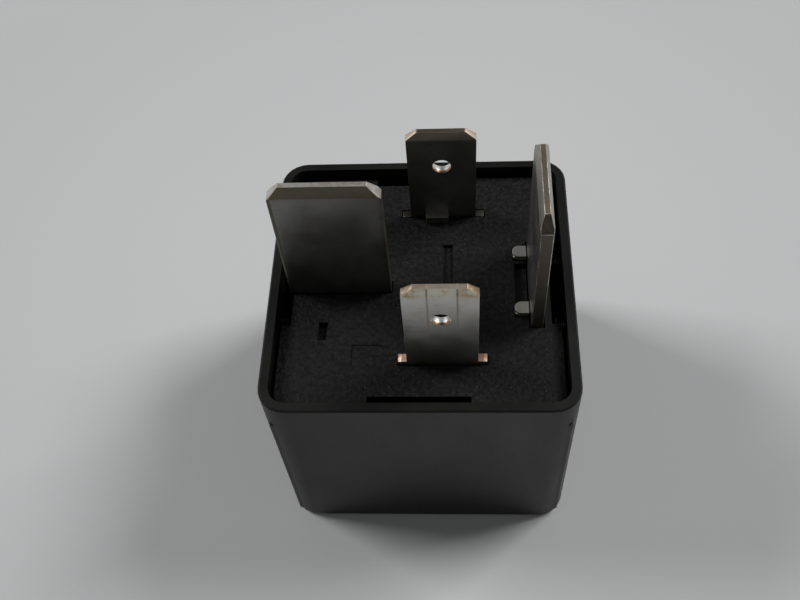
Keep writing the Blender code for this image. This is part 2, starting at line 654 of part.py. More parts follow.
def lug_head(y):
    """A staked head: round on its inner side, flat towards the blade, with an eased top."""
    flat = CARRIER_IN + LUG_THICK + 0.02 * MM
    points = [Vector((flat, y - LUG_RADIUS)), Vector((flat, y + LUG_RADIUS))]
    points += arc((LUG_HEAD + LUG_RADIUS, y), LUG_RADIUS, 90, 270, 10)
    head = top_outline(f"lug_head_{y:.4f}", points, PLATE_TOP + 0.06 * MM, LUG_TOP)
    bevel = head.modifiers.new("ease", "BEVEL")
    bevel.width = LUG_EASE
    bevel.segments = 3
    bevel.limit_method = "ANGLE"
    return head


def contact_profile(face, under, over, tail, tail_radius):
    """A contact rivet from its face to its tail: heights face, under, over and tail going one way."""
    bow = 0.12 * MM * (1 if face > tail else -1)
    return [
        (0.0, face),
        (CONTACT_RADIUS * 0.55, face - bow * 0.3),
        (CONTACT_RADIUS * 0.86, face - bow),
        (CONTACT_RADIUS, face - bow * 2.6),
        (CONTACT_RADIUS, under),
        (CONTACT_SHANK, under),
        (CONTACT_SHANK, over),
        (tail_radius, over),
        (tail_radius - 0.12 * MM, tail),
        (0.0, tail),
    ]


def make_fixed_contact(material):
    """The silver contact riveted through the carrier's foot, facing down."""
    over = CARRIER_FOOT + CARRIER_THICK
    under, tail = CARRIER_FOOT - GAP, over + 0.1 * MM
    profile = contact_profile(FIXED_FACE, under, over - GAP, tail, CONTACT_SHANK - 0.05 * MM)
    return turned("fixed_contact", profile[::-1], (CONTACT_X, AXIS_Y, 0.0), material, 28)


def make_yoke(material):
    """An L of soft iron: the long leg beside the coil, the short leg over it, two tabs in the base."""
    x = YOKE_OUT + YOKE_THICK / 2
    z = YOKE_TOP - YOKE_THICK / 2
    path = [Vector((x, YOKE_FOOT))]
    path += arc((x + YOKE_BEND, z - YOKE_BEND), YOKE_BEND, 180, 90, 6)
    path.append(Vector((YOKE_END, z)))
    front, back = AXIS_Y - YOKE_HALF, AXIS_Y + YOKE_HALF
    yoke = side_outline("yoke", strip(path, YOKE_THICK), front, back, material, smooth=True)
    for sign in (-1, 1):
        y = AXIS_Y + sign * TAB_Y
        low, high = (TAB_X[0], y - TAB_HALF, z), (TAB_X[1], y + TAB_HALF, TAB_TOP)
        join(yoke, box(f"yoke_tab_{sign}", low, high))
        cut(yoke, hinge_rivet_hole(sign))
    start, end = (AXIS_X, AXIS_Y, z - YOKE_THICK), (AXIS_X, AXIS_Y, z + YOKE_THICK)
    cut(yoke, rod("yoke_hole", YOKE_HOLE, start, end, 28))
    return yoke


def hinge_rivet_place(sign):
    return AXIS_Y + sign * HINGE_RIVET_Y, HINGE_RIVET_Z


def hinge_rivet_hole(sign):
    y, z = hinge_rivet_place(sign)
    reach = YOKE_THICK + 2 * MM
    return rod(f"hinge_rivet_hole_{sign}", RIVET_BORE, (YOKE_OUT - reach, y, z), (YOKE_OUT + reach, y, z), 16)


def make_hinge_rivet(name, sign, material):
    """A rivet through the spring leg and the yoke, with its head outside."""
    y, z = hinge_rivet_place(sign)
    outer = YOKE_OUT - GAP - SPRING_THICK - GAP
    shank = RIVET_BORE - GAP
    profile = HINGE_RIVET_HEAD + [(shank, 0.0), (shank, -HINGE_RIVET_SHANK), (0.0, -HINGE_RIVET_SHANK)]
    made = turned(name, profile, (outer, y, z), material, 20)
    made.rotation_euler = (0.0, math.radians(-90), 0.0)
    return made


def make_core(material):
    """The iron core: a pole shoe below, a staked neck through the yoke above."""
    neck = YOKE_TOP - YOKE_THICK - GAP
    head = YOKE_TOP + GAP
    profile = [
        (0.0, STAKE_TOP),
        (STAKE_RADIUS - MM, STAKE_TOP),
        (STAKE_RADIUS, head + 0.15 * MM),
        (STAKE_RADIUS, head),
        (NECK_RADIUS, head),
        (NECK_RADIUS, neck),
        (CORE_RADIUS, neck),
        (CORE_RADIUS, POLE_SHOE),
        (POLE_RADIUS, POLE_SHOE),
        (POLE_RADIUS, POLE_FACE + POLE_EASE),
        (POLE_RADIUS - POLE_EASE, POLE_FACE),
        (0.0, POLE_FACE),
    ]
    return turned("coil_core", profile, (AXIS_X, AXIS_Y, 0.0), material, 36)


def make_bobbin(material):
    """A flanged tube, with two hooks below that stop the open armature."""
    low, high = BOBBIN_LOW, BOBBIN_HIGH
    bore = CORE_RADIUS + GAP
    profile = [
        (bore, high),
        (FLANGE_RADIUS, high),
        (FLANGE_RADIUS, high - FLANGE_THICK),
        (TUBE_RADIUS, high - FLANGE_THICK),
        (TUBE_RADIUS, low + FLANGE_THICK),
        (FLANGE_RADIUS, low + FLANGE_THICK),
        (FLANGE_RADIUS, low),
        (bore, low),
    ]
    bobbin = turned("coil_bobbin", profile, (AXIS_X, AXIS_Y, 0.0), material, 40, ring=True)
    root, inner, outer = HOOK_X
    top, under, ledge, foot = HOOK_Z
    toe, slope, slope_z = HOOK_TOE
    hook = [(root, top), (root, under), (inner, under), (inner, ledge), (toe, ledge)]
    hook += [(toe, slope_z), (slope, foot), (outer, foot), (outer, top)]
    for sign in (-1, 1):
        near, far = sorted(AXIS_Y + sign * y for y in HOOK_Y)
        join(bobbin, side_outline(f"bobbin_hook_{sign}", hook, near, far))
    return bobbin


def ring_profile(inner, outer, low, high):
    return [(inner, high), (outer, high), (outer, low), (inner, low)]


def make_winding(material):
    inner = TUBE_RADIUS + GAP
    low, high = BOBBIN_LOW + FLANGE_THICK + GAP, BOBBIN_HIGH - FLANGE_THICK - GAP
    profile = ring_profile(inner, WINDING_RADIUS, low, high)
    return turned("coil_winding", profile, (AXIS_X, AXIS_Y, 0.0), material, 40, ring=True)


def make_tape(material):
    inner = WINDING_RADIUS + TAPE_GAP
    profile = ring_profile(inner, inner + TAPE_THICK, TAPE_LOW, TAPE_HIGH)
    return turned("coil_tape", profile, (AXIS_X, AXIS_Y, 0.0), material, 40, ring=True)


def make_coil_wire(name, y, inward, material):
    """A wire end: three turns round a coil terminal's tail, then across to the winding."""
    clear = GAP + WIRE_RADIUS
    half_x, half_y = TAIL_HALF + clear, COIL_THICK / 2 + clear
    corners = [(half_x, inward * half_y), (-half_x, inward * half_y)]
    corners += [(-half_x, -inward * half_y), (half_x, -inward * half_y)]
    points = []
    for i in range(WRAP_TURNS * 4 + 2):
        dx, dy = corners[i % 4]
        points.append(Vector((COIL_BLADE_X + dx, y + dy, WRAP_TOP - WRAP_PITCH * i / 4)))
    end = points[-1]
    last_x = end.x - LEAD_REACH
    bow_x, bow_y, bow_z = LEAD_BOW
    surface = AXIS_Y - inward * math.sqrt(WINDING_RADIUS**2 - (last_x - AXIS_X) ** 2)
    points.append(end + Vector((-bow_x, inward * bow_y, -bow_z)))
    points.append(Vector((last_x, surface - inward * clear, end.z - bow_z)))
    curve = bpy.data.curves.new(name, "CURVE")
    curve.dimensions = "3D"
    curve.bevel_depth = WIRE_RADIUS
    curve.bevel_resolution = 2
    curve.use_fill_caps = True
    spline = curve.splines.new("POLY")
    spline.points.add(len(points) - 1)
    for knot, point in zip(spline.points, points):
        knot.co = (*point, 1.0)
    return mesh_of_curve(name, curve, Matrix.Identity(4), material, True)


def knee_angle():
    """Where the spring's knee meets its upright leg, in degrees on the knee's circle."""
    leg_x = YOKE_OUT - GAP - SPRING_THICK / 2
    return math.degrees(math.acos((leg_x - KNEE.x) / KNEE_RADIUS))


def make_hinge_spring(material):
    """The upright leg of the leaf spring, riveted to the yoke, down to the middle of its knee."""
    leg_x = YOKE_OUT - GAP - SPRING_THICK / 2
    path = [Vector((leg_x, LEG_TOP)), Vector((leg_x, LEG_FOOT))]
    path += arc(KNEE, KNEE_RADIUS, knee_angle(), KNEE_MIDDLE - KNEE_SPLIT, 6)
    low, high = AXIS_Y - LEG_HALF, AXIS_Y + LEG_HALF
    leg = side_outline("hinge_spring", strip(path, SPRING_THICK), low, high, material, True)
    for sign in (-1, 1):
        cut(leg, hinge_rivet_hole(sign))
    return leg


def make_braid(material):
    """The flexible copper braid from terminal 30's flag, round the knee, to the contact spring."""
    path = smooth_path(BRAID_PATH, 3)
    return side_outline("shunt_braid", strip(path, BRAID_THICK), *BRAID_Y, material, True)


def make_armature(material):
    """The iron plate that the coil pulls up: waisted at the hinge, with square ears at the free end."""
    left, right, top = YOKE_OUT + 0.05 * MM, ARMATURE_END, ARMATURE_TOP
    half, waist, corner = ARMATURE_HALF, ARMATURE_WAIST, ARMATURE_CORNER
    side = [(left, waist), (ARMATURE_EARS[0], waist), (ARMATURE_EARS[1], half)]
    side += [(right - corner, half), (right, half - corner)]
    points = [(x, AXIS_Y - y) for x, y in side]
    points += [(x, AXIS_Y + y) for x, y in reversed(side)]
    plate = top_outline("armature", points, top - ARMATURE_THICK, top, material)
    for sign in (-1, 1):
        cut(plate, armature_rivet_hole(sign))
    return plate


def armature_rivet_place(sign):
    return ARMATURE_RIVET_X, AXIS_Y + sign * ARMATURE_RIVET_Y


def armature_rivet_hole(sign):
    x, y = armature_rivet_place(sign)
    start, end = (x, y, SPRING_Z - MM), (x, y, ARMATURE_TOP + MM)
    return hang(rod(f"armature_rivet_hole_{sign}", RIVET_BORE, start, end, 16))


def make_armature_rivet(name, sign, material):
    """A rivet through the armature and the leaf: a low head above, a rounded one below."""
    x, y = armature_rivet_place(sign)
    top, under = ARMATURE_TOP + GAP, SPRING_Z - SPRING_THICK / 2 - GAP
    shank = RIVET_BORE - GAP
    profile = [(0.0, top + 0.4 * MM), (shank, top + 0.35 * MM), (1.0 * MM, top), (shank, top)]
    profile += [(shank, under), (1.1 * MM, under), (0.75 * MM, under - 0.42 * MM), (0.0, under - 0.46 * MM)]
    return turned(name, profile, (x, y, 0.0), material, 20)


def make_contact_spring(material):
    """The leaf under the armature: from the middle of the knee to the moving contact."""
    path = arc(KNEE, KNEE_RADIUS, KNEE_MIDDLE + KNEE_SPLIT, 270, 7)
    path.append(Vector((SPRING_END, SPRING_Z)))
    front, back = AXIS_Y - SPRING_HALF, AXIS_Y + SPRING_HALF
    leaf = side_outline("contact_spring", strip(path, SPRING_THICK), front, back, material, True)
    low, high = SPRING_Z - MM, SPRING_Z + MM
    for sign in (-1, 1):
        edge = AXIS_Y + sign * LEAF_NARROW
        outer = AXIS_Y + sign * (SPRING_HALF + MM)
        beyond = SPRING_END + MM
        waste = [(LEAF_TAPER[0], outer), (LEAF_TAPER[1], edge), (SPRING_END - LEAF_TIP, edge)]
        waste += [(beyond, edge - sign * LEAF_TIP_IN), (beyond, outer)]
        cut(leaf, hang(top_outline(f"leaf_waste_{sign}", waste, low, high)))
        cut(leaf, armature_rivet_hole(sign))
    bore = rod("leaf_bore", CONTACT_BORE, (CONTACT_X, AXIS_Y, low), (CONTACT_X, AXIS_Y, high), 20)
    cut(leaf, hang(bore))
    return leaf


def make_moving_contact(material):
    """The silver contact riveted through the spring's tip, facing up."""
    top, under = SPRING_Z + SPRING_THICK / 2 + GAP, SPRING_Z - SPRING_THICK / 2 - GAP
    profile = contact_profile(MOVING_FACE, top, under, under - 0.4 * MM, 0.95 * MM)
    return turned("moving_contact", profile, (CONTACT_X, AXIS_Y, 0.0), material, 28)


def make_hinge():
    """The empty on the hinge axis. It carries the armature's pieces, opened by the rest angle."""
    hinge = bpy.data.objects.new("armature_hinge", None)
    cutters.objects.link(hinge)
    hinge.location = HINGE
    hinge.rotation_euler = (0.0, OPEN_ANGLE, 0.0)
    return hinge


def hang(piece):
    """Hang a piece drawn in the closed pose on the hinge."""
    piece.parent = bpy.data.objects["armature_hinge"]
    piece.location = Vector(piece.location) - HINGE
    return piece


def build():
    global parts, cutters
    clear_scene()
    parts = collection("plug_in_relay")
    cutters = collection("cutters")
    make_hinge()

    cover_plastic = finish("cover_plastic", (0.022, 0.021, 0.020), 0.5, 0.0)
    base_plastic = finish("base_plastic", (0.016, 0.016, 0.017), 0.6, 0.0)
    tinned = finish("tinned_copper", (0.55, 0.53, 0.49), 0.35, 1.0)
    iron = finish("zinc_plated_iron", (0.62, 0.62, 0.60), 0.35, 1.0)
    copper = finish("bare_copper", (0.72, 0.38, 0.22), 0.4, 1.0)
    enamel = finish("enamelled_wire", (0.48, 0.17, 0.07), 0.3, 1.0)
    silver = finish("contact_silver", (0.82, 0.81, 0.78), 0.3, 1.0)
    bronze = finish("spring_bronze", (0.70, 0.48, 0.27), 0.35, 1.0)
    bobbin_plastic = finish("bobbin_plastic", (0.42, 0.40, 0.34), 0.5, 0.0)
    tape_film = finish("tape_film", (0.55, 0.36, 0.06), 0.3, 0.0)

    make_cover(cover_plastic)
    make_base_plate(base_plastic)
    make_terminal_30(tinned)
    make_terminal_87(tinned)
    make_coil_terminal("terminal_85", T85_Y, 1, SHOULDER_PROUD[0], tinned)
    make_coil_terminal("terminal_86", T86_Y, -1, SHOULDER_PROUD[1], tinned)
    make_carrier(tinned)
    make_fixed_contact(silver)
    make_yoke(iron)
    make_core(iron)
    make_bobbin(bobbin_plastic)
    make_winding(enamel)
    make_tape(tape_film)
    make_coil_wire("coil_wire_85", T85_Y, 1, enamel)
    make_coil_wire("coil_wire_86", T86_Y, -1, enamel)
    make_hinge_spring(bronze)
    make_hinge_rivet("hinge_spring_rivet_front", -1, iron)
    make_hinge_rivet("hinge_spring_rivet_back", 1, iron)
    make_braid(copper)
    hang(make_armature(iron))
    hang(make_contact_spring(bronze))
    hang(make_armature_rivet("armature_rivet_front", -1, iron))
    hang(make_armature_rivet("armature_rivet_back", 1, iron))
    hang(make_moving_contact(silver))


build()
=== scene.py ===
"""Looks for the plug-in relay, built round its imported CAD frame.

Lengths are in metres in the row frame: +Z runs out along the terminals and the origin is the centre
of the cover's closed end, which stands on the floor.
"""
import math
import random

import bmesh
import bpy
from mathutils import Matrix, Vector


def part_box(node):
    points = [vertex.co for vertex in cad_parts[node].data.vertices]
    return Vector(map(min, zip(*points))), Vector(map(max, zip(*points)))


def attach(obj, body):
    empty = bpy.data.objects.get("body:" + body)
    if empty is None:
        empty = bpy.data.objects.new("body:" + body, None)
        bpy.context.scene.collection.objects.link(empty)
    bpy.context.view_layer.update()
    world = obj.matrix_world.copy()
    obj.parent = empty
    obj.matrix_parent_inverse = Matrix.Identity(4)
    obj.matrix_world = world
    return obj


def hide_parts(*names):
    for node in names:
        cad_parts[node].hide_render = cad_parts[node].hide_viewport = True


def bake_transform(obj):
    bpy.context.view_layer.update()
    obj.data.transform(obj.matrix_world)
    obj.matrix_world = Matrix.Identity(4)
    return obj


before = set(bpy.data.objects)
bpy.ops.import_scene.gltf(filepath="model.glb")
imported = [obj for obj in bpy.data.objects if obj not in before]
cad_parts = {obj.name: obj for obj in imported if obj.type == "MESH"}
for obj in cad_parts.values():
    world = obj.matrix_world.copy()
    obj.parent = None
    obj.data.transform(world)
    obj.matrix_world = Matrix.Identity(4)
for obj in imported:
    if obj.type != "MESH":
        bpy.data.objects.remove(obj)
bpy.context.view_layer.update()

MM = 0.001

# Heights and centres that the looks need, as the CAD has them
PLATE_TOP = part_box("base_plate")[1].z
AXIS = Vector((0.6 * MM, 0.4 * MM, 0.0))                # the coil's axis
HINGE = Vector((-8.9 * MM, 0.4 * MM, 5.1 * MM))
OPEN_ANGLE = math.radians(3.0)                          # how far the armature stands open at rest
CONTACT_AXIS = (10.9 * MM, 0.4 * MM, 0.0)
LUG_COPPER_X = 9.5 * MM        # the staked ends of the carrier's lugs are bare copper past this X
ABOVE_FOOT = 2.0 * MM          # a blade's foot, with its shoulders and stop, ends this far above the plate
BELOW_TOP = 0.1 * MM           # faces deeper than this under the plate's top aren't marked
HOLE_REACH = 1.0 * MM          # a locking hole's faces lie within this of the blade's middle
TIP_REACH = 2.0 * MM           # and further than this below its tip
LEANING, LEVEL = 0.3, 0.9      # share of a face's normal from which it counts as leaning that way, or level

# Width of the eased edges
MOULDED_EASE = 0.07 * MM
COVER_EASE = 0.06 * MM
BLADE_EASE = 0.05 * MM
IRON_EASE = 0.14 * MM
CORE_EASE = 0.06 * MM
RIVET_EASE = 0.03 * MM
CONTACT_EASE = 0.04 * MM
EASE_STEPS = 2
SHARP = 28.0                   # edges sharper than this are eased, in degrees
ROUND_SHARP = 50.0             # the same for turned pieces

# The coil: its winding, its tape, and the wire ends round the coil terminals' tails
WINDING_OUTER = 6.2 * MM
WINDING_INNER = 3.75 * MM
WINDING_HEIGHTS = (6.92 * MM, 16.78 * MM)
WINDING_STEPS = 72
WIRE_PITCH = 0.21 * MM
WIRE_SHIFT = 0.02              # how unevenly the rows lie, in mm
WIRE_WOBBLE = 0.008 * MM
ROW_INSET = 0.03 * MM          # from the winding's outer radius to the crest of a level row
END_INSET = 0.1 * MM           # and to its upper rim
ROW_SECTION = ((0.0, 0.085), (0.18, 0.03), (0.5, 0.0), (0.82, 0.03))     # share of a row, and dip in mm
TAPE_INNER = 6.26 * MM
TAPE_THICK = 0.07 * MM
TAPE_HEIGHTS = (8.2 * MM, 15.4 * MM)
TAPE_LIFT = 0.09 * MM          # where the tape's end lies on its start
TAPE_SWAY = 0.05 * MM          # how far its edges wander
TAPE_START = math.radians(200)
TAPE_STEPS, TAPE_LAP = 96, 10  # steps in one turn, and steps that lie on its start
TAIL_HALVES = (0.8 * MM, 0.4 * MM)
LEAD_RADIUS = 0.11 * MM
LEAD_CLEAR = 0.21 * MM         # from a tail's face to the middle of the wire
WRAP_TOP = 16.9 * MM
WRAP_PITCH = 0.34 * MM
WRAP_SIDES = 14                # sides of the tail that the wire passes
WRAP_SHARES = (0.06, 0.3, 0.7, 0.94)     # points along one side
WRAP_BOW = 0.03 * MM           # how far the wire bows out from a side
# Points of the slack run, back and down from the end of the wrap: the first one's Y is inward from the
# wrap, the middle one lies half way across, and the last one's Y is out from the winding
SLACK_START = Vector((0.45 * MM, 0.35 * MM, 0.1 * MM))
SLACK_MIDDLE = Vector((0.8 * MM, 0.0, 0.25 * MM))
SLACK_END = Vector((0.9 * MM, 0.16 * MM, 0.1 * MM))

# The leaf spring: its leg on the yoke, its knee, and the leaf under the armature
LEAF_THICK = 0.3 * MM
LEAF_EASE = 0.05 * MM
LEG_X = -9.15 * MM
LEAF_Z = 3.5 * MM
KNEE = Vector((-8.6 * MM, AXIS.y, 4.9 * MM))
KNEE_RADIUS = 1.4 * MM
KNEE_END = 270.0               # angle at which the knee turns into the leaf, in degrees
KNEE_STEPS = 14
LEG_HEIGHTS = (15.0, 14.6, 13.0, 11.0, 9.5, 8.4, 7.6, 6.9)               # in mm
LEAF_PLACES = (                # along X, in mm
    -7.4, -6.0, -3.0, 0.0, 3.0, 6.0, 7.8, 8.2, 8.6, 9.0, 9.4, 10.2, 11.1, 11.6, 12.1, 12.4,
)
LEG_HALF, LEAF_HALF, NECK_HALF = 4.8, 3.6, 2.1                           # half widths in mm
LEG_CORNER = 14.6              # the leg narrows from here up, in mm
LEG_SLOPE = 0.9                # half the width that it loses there per mm
LEG_WAIST = (6.9, 8.4)         # the leg widens between these heights, in mm
LEG_SIDE = -8.0                # at X below this a point is on the leg's side of the knee, in mm
LEAF_TAPER = (8.2, 9.2)        # the leaf narrows between these places, in mm
LEAF_TIP = 11.1                # its tip tapers from here, in mm
TIP_SLOPE = 0.75               # half the width that it loses there per mm
BEND_HEIGHTS = (7.0 * MM, 3.9 * MM)      # above the first the leaf stays still, below the second it moves

# The copper braid, from terminal 30's flag round the knee to the leaf
BRAID_Y = -2.35 * MM
BRAID_POINTS = (                         # (x, z) in mm
    (-10.3, 13.2), (-10.3, 11.0), (-10.35, 9.0), (-10.75, 7.4), (-11.15, 5.6),
    (-10.75, 3.6), (-9.6, 2.4), (-8.2, 2.25), (-6.4, 2.55),
)
BRAID_HALF = (0.93 * MM, 0.2 * MM)       # half width and half thickness of the braid's core
BRAID_SQUARE = 0.85                      # below 1.0 its section is squarer than an ellipse
BRAID_CARRIERS, CARRIER_WIRES = 8, 4
STRAND_RADIUS = 0.052 * MM
STRAND_SPREAD = 0.16                     # angle between the wires of one carrier, in radians
WEAVE_DEPTH = 0.06 * MM
BRAID_PITCH = 6.4 * MM
BRAID_SAMPLES = 84
PRESSED = 0.9 * MM                       # length at each end where the braid is pressed flat
PRESSED_SHARE = 0.55                     # share of its thickness that is left at the very end
PAD_SIZE = (0.9 * MM, 2.1 * MM, 0.5 * MM)
PAD_INSET = 0.35 * MM
PAD_EASE = 0.14 * MM

# Camera, softboxes, floor and studio. A softbox has its bearing and height in degrees, its size in metres
# and its power in watts.
CAMERA_LENS = 43.473
CAMERA_PLACE = (0.003789, -0.051097, 0.097014)
CAMERA_TURN = (0.585586, 0.057977, 0.02818)
SOFTBOXES = {
    "right_softbox": (62.0, 45.0, 1.1, 50.0),
    "left_softbox": (-71.0, 39.0, 0.95, 44.5),
}
LIGHT_DISTANCE = 3.0
FLOOR_REACH = 3.0
FLOOR_DROP = 0.00001
STUDIO_COLOUR = (0.97, 0.985, 1.0, 1.0)
STUDIO_FADE = (0.03, 0.35, 0.5, 0.13)    # from this height to that, from this strength to that

# Masks on the faces of a piece: eased edges, bare copper, tip and cut corners, long edges, locking hole
MASKS = ("edge", "cut", "strip", "side", "bore")

# The blades: middle of the width and of the thickness, thickness, half width and bevel in mm, then how
# tarnished the faces are, and the colours of the rim, the stains and the cut faces
BLADE_30 = {
    "middle": -7.47, "plane": -0.4, "thick": 1.2, "half": 4.75, "bevel": 1.1, "shade": 0.36, "worn": 0.5,
    # Terminal 30's rim colour is a painted reflection: dark for the shaded floor in front that its bevel
    # faces.
    "rim": (0.11, 0.105, 0.078), "rim_share": 0.95, "coined": 0.9,
    "stain": (0.16, 0.12, 0.06), "stained": 0.6, "lines": (),
    "strip": (0.55, 0.54, 0.50), "strip_worn": (0.46, 0.41, 0.33),
    "corner": (0.58, 0.57, 0.54), "corner_worn": (0.46, 0.40, 0.32),
    "side": (0.16, 0.14, 0.10), "side_worn": (0.10, 0.09, 0.07),
}
BLADE_87 = {
    "middle": -0.1, "plane": 10.55, "thick": 1.2, "half": 4.75, "bevel": 1.1, "shade": 0.36, "worn": 0.9,
    "rim": (0.56, 0.55, 0.50), "rim_share": 0.7, "coined": 0.3, "stain": (0.34, 0.26, 0.14), "stained": 0.5,
    "lines": (), "strip": (0.21, 0.18, 0.13), "strip_worn": (0.26, 0.19, 0.125),
    "corner": (0.10, 0.09, 0.078), "corner_worn": (0.15, 0.115, 0.085),
    "side": (0.15, 0.145, 0.12), "side_worn": (0.16, 0.125, 0.095),
}
BLADE_85 = {
    "middle": 2.05, "plane": -8.3, "thick": 0.8, "half": 3.15, "bevel": 0.9, "shade": 0.9, "worn": 0.6,
    "rim": (0.62, 0.59, 0.47), "rim_share": 0.6, "coined": 0.0, "stain": (0.42, 0.27, 0.12), "stained": 0.9,
    "lines": ((-1.05, 6.0), (1.4, 5.2)), "strip": (0.38, 0.33, 0.27), "strip_worn": (0.36, 0.27, 0.19),
    "corner": (0.38, 0.28, 0.19), "corner_worn": (0.54, 0.44, 0.35),
    "side": (0.22, 0.19, 0.14), "side_worn": (0.30, 0.20, 0.13),
}
BLADE_86 = {
    "middle": 2.05, "plane": 8.3, "thick": 0.8, "half": 3.15, "bevel": 0.9, "shade": 0.41, "worn": 0.3,
    "rim": (0.34, 0.30, 0.24), "rim_share": 0.8, "coined": 0.0, "stain": (0.26, 0.18, 0.10), "stained": 0.6,
    "lines": (), "strip": (0.16, 0.13, 0.10), "strip_worn": (0.14, 0.105, 0.08),
    "corner": (0.66, 0.52, 0.42), "corner_worn": (0.56, 0.46, 0.36),
    "side": (0.05, 0.046, 0.038), "side_worn": (0.04, 0.035, 0.028),
}
# The fixed contact's carrier in the same terms: it has no rim, cut corners or stains, so they lie off it
CARRIER = {
    "middle": -0.04, "plane": 9.25, "thick": 1.2, "half": 8.0, "bevel": -9.0, "shade": 0.9, "worn": 0.6,
    "rim": (0.5, 0.45, 0.35), "rim_share": 0.0, "coined": 0.0, "stain": (0.3, 0.2, 0.1), "stained": 0.0,
    "lines": (), "strip": (0.72, 0.66, 0.58), "strip_worn": (0.60, 0.48, 0.38),
    "corner": (0.6, 0.5, 0.4), "corner_worn": (0.5, 0.4, 0.3),
    "side": (0.4, 0.35, 0.28), "side_worn": (0.3, 0.22, 0.15),
}


# ---------------------------------------------------------------- materials

class Finish:
    """A Principled material and the nodes that vary it. Coordinates are the row frame's, in metres."""

    def __init__(self, name, roughness, metallic=0.0, **sockets):
        self.material = bpy.data.materials.new(name)
        self.material.use_nodes = True
        self.tree = self.material.node_tree
        self.shader = self.tree.nodes["Principled BSDF"]
        self.shader.inputs["Roughness"].default_value = roughness
        self.shader.inputs["Metallic"].default_value = metallic
        for socket, value in sockets.items():
            self.shader.inputs[socket.replace("_", " ")].default_value = value
        self.where = self.tree.nodes.new("ShaderNodeTexCoord").outputs["Object"]

    def node(self, kind, *values, **settings):
        """A node with its settings, and its inputs in order: a socket is linked, a value is set."""
        made = self.tree.nodes.new("ShaderNode" + kind)
        for key, value in settings.items():
            setattr(made, key, value)
        for socket, value in zip(made.inputs, values):
            self.feed(socket, value)
        return made

    def feed(self, socket, value):
        """Links a socket to the input, or sets its value."""
        if isinstance(value, bpy.types.NodeSocket):
            self.tree.links.new(value, socket)
        elif value is not None:
            socket.default_value = value

    def stretched(self, x, y, z):
        """Coordinates scaled on each axis: a pattern grows longer where the number is small."""
        return self.node("VectorMath", self.where, (x, y, z), operation="MULTIPLY").outputs[0]

    def noise(self, size, detail=2.0, roughness=0.5, vector=None, seed=0.0):
        """Smooth noise, 0 to 1, whose blobs are about that size."""
        shifted = self.node("VectorMath", vector or self.where, (seed, seed, seed), operation="ADD")
        made = self.node("TexNoise", shifted.outputs[0], noise_dimensions="3D")
        made.inputs["Scale"].default_value = 1.0 / size
        made.inputs["Detail"].default_value = detail
        made.inputs["Roughness"].default_value = roughness
        return made.outputs[0]

    def cells(self, size):
        """Cells of about that size, with a distance from their middle and a colour each."""
        made = self.node("TexVoronoi", self.where)
        made.inputs["Scale"].default_value = 1.0 / size
        return made

    def span(self, value, low, high, start=0.0, end=1.0):
        """Value from low to high, eased and clamped, becomes start to end."""
        made = self.node("MapRange", value, low, high, start, end, interpolation_type="SMOOTHSTEP")
        return made.outputs[0]

    def math(self, operation, a, b=None):
        return self.node("Math", a, b, operation=operation).outputs[0]

    def product(self, *values):
        found = values[0]
        for value in values[1:]:
            found = self.math("MULTIPLY", found, value)
        return found

    def most(self, *values):
        found = values[0]
        for value in values[1:]:
            found = self.math("MAXIMUM", found, value)
        return found

    def mix(self, factor, a, b):
        """Colour a where the factor is 0, b where it is 1."""
        made = self.node("Mix", data_type="RGBA")
        for index, value in ((0, factor), (6, a), (7, b)):
            if isinstance(value, tuple):
                value = (*value, 1.0)
            self.feed(made.inputs[index], value)
        return made.outputs[2]

    def mask(self, name):
        """A mask stored on the mesh's faces."""
        return self.node("Attribute", attribute_name=name).outputs["Fac"]

    def axis(self, name):
        """One coordinate, X, Y or Z."""
        return self.node("SeparateXYZ", self.where).outputs[name]

    def colour(self, value):
        self.feed(self.shader.inputs["Base Color"], value)

    def roughness(self, value):
        self.feed(self.shader.inputs["Roughness"], value)

    def bump(self, *layers):
        """Layers of (height, depth in metres), laid over each other."""
        under = None
        for height, depth in layers:
            made = self.node("Bump")
            made.inputs["Strength"].default_value = 1.0
            made.inputs["Distance"].default_value = depth
            self.feed(made.inputs["Height"], height)
            if under is not None:
                self.feed(made.inputs["Normal"], under)
            under = made.outputs[0]
        self.feed(self.shader.inputs["Normal"], under)

    def dust(self, size, share):
        """Scattered specks: a few of the cells hold a small spot."""
        made = self.cells(size)
        spot = self.span(made.outputs["Distance"], 0.06, 0.02)
        pick = self.node("SeparateColor", made.outputs["Color"]).outputs[0]
        return self.product(spot, self.span(pick, 1.0 - share, 1.0 - share + 0.01))


def cover_plastic():
    """Satin black nylon: fine grain, faint flow marks, rubbed edges lightened partly as a painted highlight,
    and a little dust.
    """
    made = Finish("cover_plastic", 0.4, Specular_IOR_Level=0.3)
    grain = made.noise(0.16 * MM, 3.0, 0.6)
    flow = made.noise(7.0 * MM, 3.0, 0.55, made.stretched(1.0, 1.0, 0.35))
    scuff = made.noise(0.35 * MM, 4.0, 0.7, made.stretched(1.0, 1.0, 0.08), 0.3)
    rubbed = made.span(scuff, 0.58, 0.72)
    worn = made.product(made.mask("edge"), made.span(made.noise(0.8 * MM, 3.0, seed=0.7), 0.3, 0.7))
    tone = made.mix(made.span(flow, 0.3, 0.7), (0.0038, 0.0036, 0.0031), (0.0068, 0.0065, 0.0056))
    tone = made.mix(made.product(rubbed, 0.3), tone, (0.020, 0.0195, 0.018))
    # Lighter eased edges: partly rubbed plastic, partly a painted highlight along the rim.
    tone = made.mix(made.product(worn, 0.3), tone, (0.028, 0.027, 0.024))
    specks = made.dust(0.9 * MM, 0.04)
    made.colour(made.mix(made.product(specks, 0.3), tone, (0.2, 0.195, 0.18)))
    low = made.math("SUBTRACT", made.span(flow, 0.3, 0.7, 0.34, 0.44), made.product(worn, 0.08))
    made.roughness(made.math("ADD", low, made.product(rubbed, 0.1)))
    made.bump((made.noise(3.0 * MM, 2.0), 0.02 * MM), (grain, 0.010 * MM), (scuff, 0.005 * MM))
    return made.material


